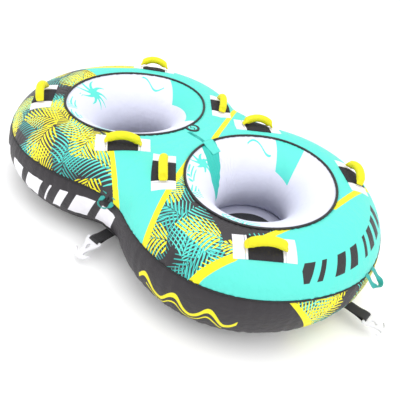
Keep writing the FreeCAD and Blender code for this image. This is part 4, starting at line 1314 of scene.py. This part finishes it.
def connector_mesh(name, bar, ahead, across, lift, material):
    """The moulded connector: bar, two arms, a waisted body with a teardrop eye, and a crescent."""
    half, inner = 0.037, 0.027
    edge = [(-0.0050, half - 0.004), (-0.0035, half - 0.0010), (0.0030, half), (0.0110, half - 0.0015),
            (0.0240, half - 0.009), (0.0400, half - 0.0175), (0.0540, 0.0135), (0.0640, 0.0112), (0.0700, 0.0112)]
    crescent = [(0.0715, 0.0150), (0.0690, 0.0250), (0.0640, 0.0330), (0.0600, 0.0372), (0.0605, 0.0396),
                (0.0640, 0.0392), (0.0740, 0.0330), (0.0835, 0.0235), (0.0895, 0.0120)]
    mouth = [(0.0086, 0.0), (0.0086, inner - 0.008), (0.0074, inner - 0.002), (0.0040, inner), (-0.0050, inner)]
    upper = mouth + edge + crescent + [(0.0915, 0.0)]
    outline = upper + [(x, -y) for x, y in upper[-2:0:-1]]
    turn = full_turn(18)
    eye = [(0.0344 + (0.0125 if math.cos(a) > 0 else 0.0115) * math.cos(a),
            0.0068 * math.sin(a) * (1 - 0.35 * math.cos(a))) for a in turn]
    bm = bmesh.new()
    rings = []
    for loop in (outline, eye):
        verts = [bm.verts.new((x, y, 0)) for x, y in loop]
        edges = [bm.edges.new((a, b)) for a, b in zip(verts, verts[1:] + verts[:1])]
        rings += edges
    bmesh.ops.triangle_fill(bm, use_beauty=True, use_dissolve=True, edges=rings)
    faces = bm.faces[:]
    made = bmesh.ops.extrude_face_region(bm, geom=faces)["geom"]
    for v in made:
        if isinstance(v, bmesh.types.BMVert):
            v.co.z = 0.0045
    for v in bm.verts:
        if v.co.z == 0:
            v.co.z = -0.0045
    bmesh.ops.recalc_face_normals(bm, faces=bm.faces)
    sharp = [e for e in bm.edges if len(e.link_faces) == 2 and e.calc_face_angle(0) > 0.9
             and abs(e.verts[0].co.z - e.verts[1].co.z) < 1e-6]
    bmesh.ops.bevel(bm, geom=sharp, offset=0.0016, segments=3, profile=0.6, affect="EDGES", clamp_overlap=True)
    bmesh.ops.create_cone(bm, cap_ends=True, segments=20, radius1=0.005, radius2=0.005, depth=2 * inner + 0.006,
                          matrix=Matrix.Rotation(math.pi / 2, 4, "X"))
    for v in bm.verts:
        x, y, z = v.co
        v.co = bar + ahead * x + across * y + lift * z
    bmesh.ops.recalc_face_normals(bm, faces=bm.faces)
    mesh = bpy.data.meshes.new(name)
    bm.to_mesh(mesh)
    bm.free()
    mesh.polygons.foreach_set("use_smooth", [True] * len(mesh.polygons))
    mesh.set_sharp_from_angle(angle=math.radians(40))
    mesh.materials.append(material)
    return placed(name, mesh)


class TUBE_OT_carry_loops(bpy.types.Operator):
    """Make the two teal carry loops and their sewn tabs"""
    bl_idname = "tube.carry_loops"
    bl_label = "Carry loops"

    def execute(self, context):
        tabs = []
        for name, outward in (("front", np.array([1.0, 0.0, 0.0])), ("side", np.array([0.0, -1.0, 0.0]))):
            reach = 0.8924 if name == "front" else 0.4694
            axis = outward * reach + UP * 0.257
            across = np.cross(UP, outward)
            slope = math.radians(40)
            ahead = outward * math.cos(slope) - UP * math.sin(slope)
            up = np.cross(ahead, across)
            up = up if up[2] > 0 else -up
            turn = np.linspace(0, math.pi, 21)
            half = 0.026
            bow = [(0.022 + half * math.sin(a) * 0.9, half * math.cos(a)) for a in turn]
            plan = np.array([(0.0, half), *bow, (0.0, -half)])
            path = smooth_path(axis + ahead * plan[:, :1] + across * plan[:, 1:], 60)
            run = np.linspace(-1, 1, 60)
            upright = 1 - smooth_step(0.2, 0.8, np.abs(run))
            side = across * (1 - upright)[:, None] + up * upright[:, None]
            # where the webbing stands on edge it rises, so the loop can fold back against the band
            path = path + up * (0.009 * upright)[:, None]
            piece = ribbon(f"carry_webbing_{name}", path, side, 0.020, 0.0022, finishes()["teal nylon webbing"])
            settle(piece, f"carry_loop_{name}", "teal_webbing", f"carry_loop_{name}")
            for end in (-1, 1):
                root = axis + across * end * half
                start = on_skin(root + UP * 0.016)
                line = smooth_path([start, start * 0.4 + root * 0.6 + UP * 0.002, root + ahead * 0.001], 10)
                flat = np.broadcast_to(across, line.shape)
                tabs.append(ribbon("tab part", line, flat, 0.021, 0.0024, finishes()["teal nylon webbing"]))
        piece = join("carry_tabs", tabs)
        settle(piece, "cover", "teal_webbing", "carry_loop_tabs")
        return {"FINISHED"}


class TUBE_OT_stage(bpy.types.Operator):
    """Make the floor, the soft studio light and the camera"""
    bl_idname = "tube.stage"
    bl_label = "Stage"

    def execute(self, context):
        scene = context.scene
        scene.view_settings.view_transform = "Standard"
        world = bpy.data.worlds.new("soft studio")
        scene.world = world
        world.use_nodes = True
        back = next(n for n in world.node_tree.nodes if n.type == "BACKGROUND")
        back.inputs["Color"].default_value = (1.0, 1.0, 1.0, 1)
        back.inputs["Strength"].default_value = 1.0
        floor = new_material("pale studio floor", linear("FFFFFF"), 0.9)[0]
        mesh = bpy.data.meshes.new("floor")
        size = 14.0
        mesh.from_pydata([(-size, -size, 0), (size, -size, 0), (size, size, 0), (-size, size, 0)], [], [(0, 1, 2, 3)])
        mesh.materials.append(floor)
        ground = placed("floor", mesh)
        lamps = (("overhead", (0.3, -0.2, 3.4), 3.0, 50.0), ("left window", (-2.6, -2.2, 1.9), 2.0, 26.0),
                 ("right window", (2.8, -0.6, 2.0), 1.8, 16.0))
        for name, spot, width, power in lamps:
            light = bpy.data.lights.new(name, "AREA")
            light.shape, light.size, light.energy = "SQUARE", width, power
            lamp = placed(name, light)
            aim = Matrix.Identity(3)
            way = unit(np.array(spot) - np.array([0.1, -0.1, 0.2]))
            side = unit(np.cross((0.0, 1.0, 0.2), way))
            over = np.cross(way, side)
            for row in range(3):
                aim[row] = (side[row], over[row], way[row])
            lamp.matrix_world = Matrix.Translation(spot) @ aim.to_4x4()
        camera = bpy.data.cameras.new("camera")
        camera.lens, camera.sensor_width = 39.689, 36.0
        camera.clip_start, camera.clip_end = 0.05, 60.0
        view = placed("camera", camera)
        azimuth, elevation, roll, distance = 0.568849, 0.650902, 0.230572, 1.714298
        target = np.array([0.237005, -0.218076, 0.090956 + MID])
        level = np.array([math.sin(azimuth), -math.cos(azimuth), 0.0])
        back = level * math.cos(elevation) + UP * math.sin(elevation)
        right = np.array([math.cos(azimuth), math.sin(azimuth), 0.0])
        over = np.cross(back, right)
        right, over = right * math.cos(roll) + over * math.sin(roll), over * math.cos(roll) - right * math.sin(roll)
        turn = Matrix([(right[i], over[i], back[i]) for i in range(3)])
        view.matrix_world = Matrix.Translation(target + back * distance) @ turn.to_4x4()
        scene.camera = view
        return {"FINISHED"}


class TUBE_PT_panel(bpy.types.Panel):
    """Lists the pieces of the tube"""
    bl_idname = "TUBE_PT_panel"
    bl_label = "Towable Tube"
    bl_space_type = "VIEW_3D"
    bl_region_type = "UI"
    bl_category = "Tube"

    def draw(self, context):
        for maker in MAKERS:
            self.layout.operator(maker.bl_idname)
        for group in (context.scene.tube_sizes, context.scene.tube_colours):
            column = self.layout.column()
            for name in group.bl_rna.properties.keys():
                if name not in ("rna_type", "name"):
                    column.prop(group, name)


MAKERS = (TUBE_OT_stage, TUBE_OT_cover, TUBE_OT_wells, TUBE_OT_seams, TUBE_OT_bridge_trim, TUBE_OT_handles,
          TUBE_OT_tow_points, TUBE_OT_carry_loops)
CLASSES = (TubeSizes, TubeColours, *MAKERS, TUBE_PT_panel)


def register():
    for each in CLASSES:
        bpy.utils.register_class(each)
    bpy.types.Scene.tube_sizes = bpy.props.PointerProperty(type=TubeSizes)
    bpy.types.Scene.tube_colours = bpy.props.PointerProperty(type=TubeColours)


def unregister():
    del bpy.types.Scene.tube_sizes
    del bpy.types.Scene.tube_colours
    for each in reversed(CLASSES):
        bpy.utils.unregister_class(each)


def main():
    register()
    for maker in MAKERS:
        group, name = maker.bl_idname.split(".")
        getattr(getattr(bpy.ops, group), name)()


if __name__ == "__main__":
    main()
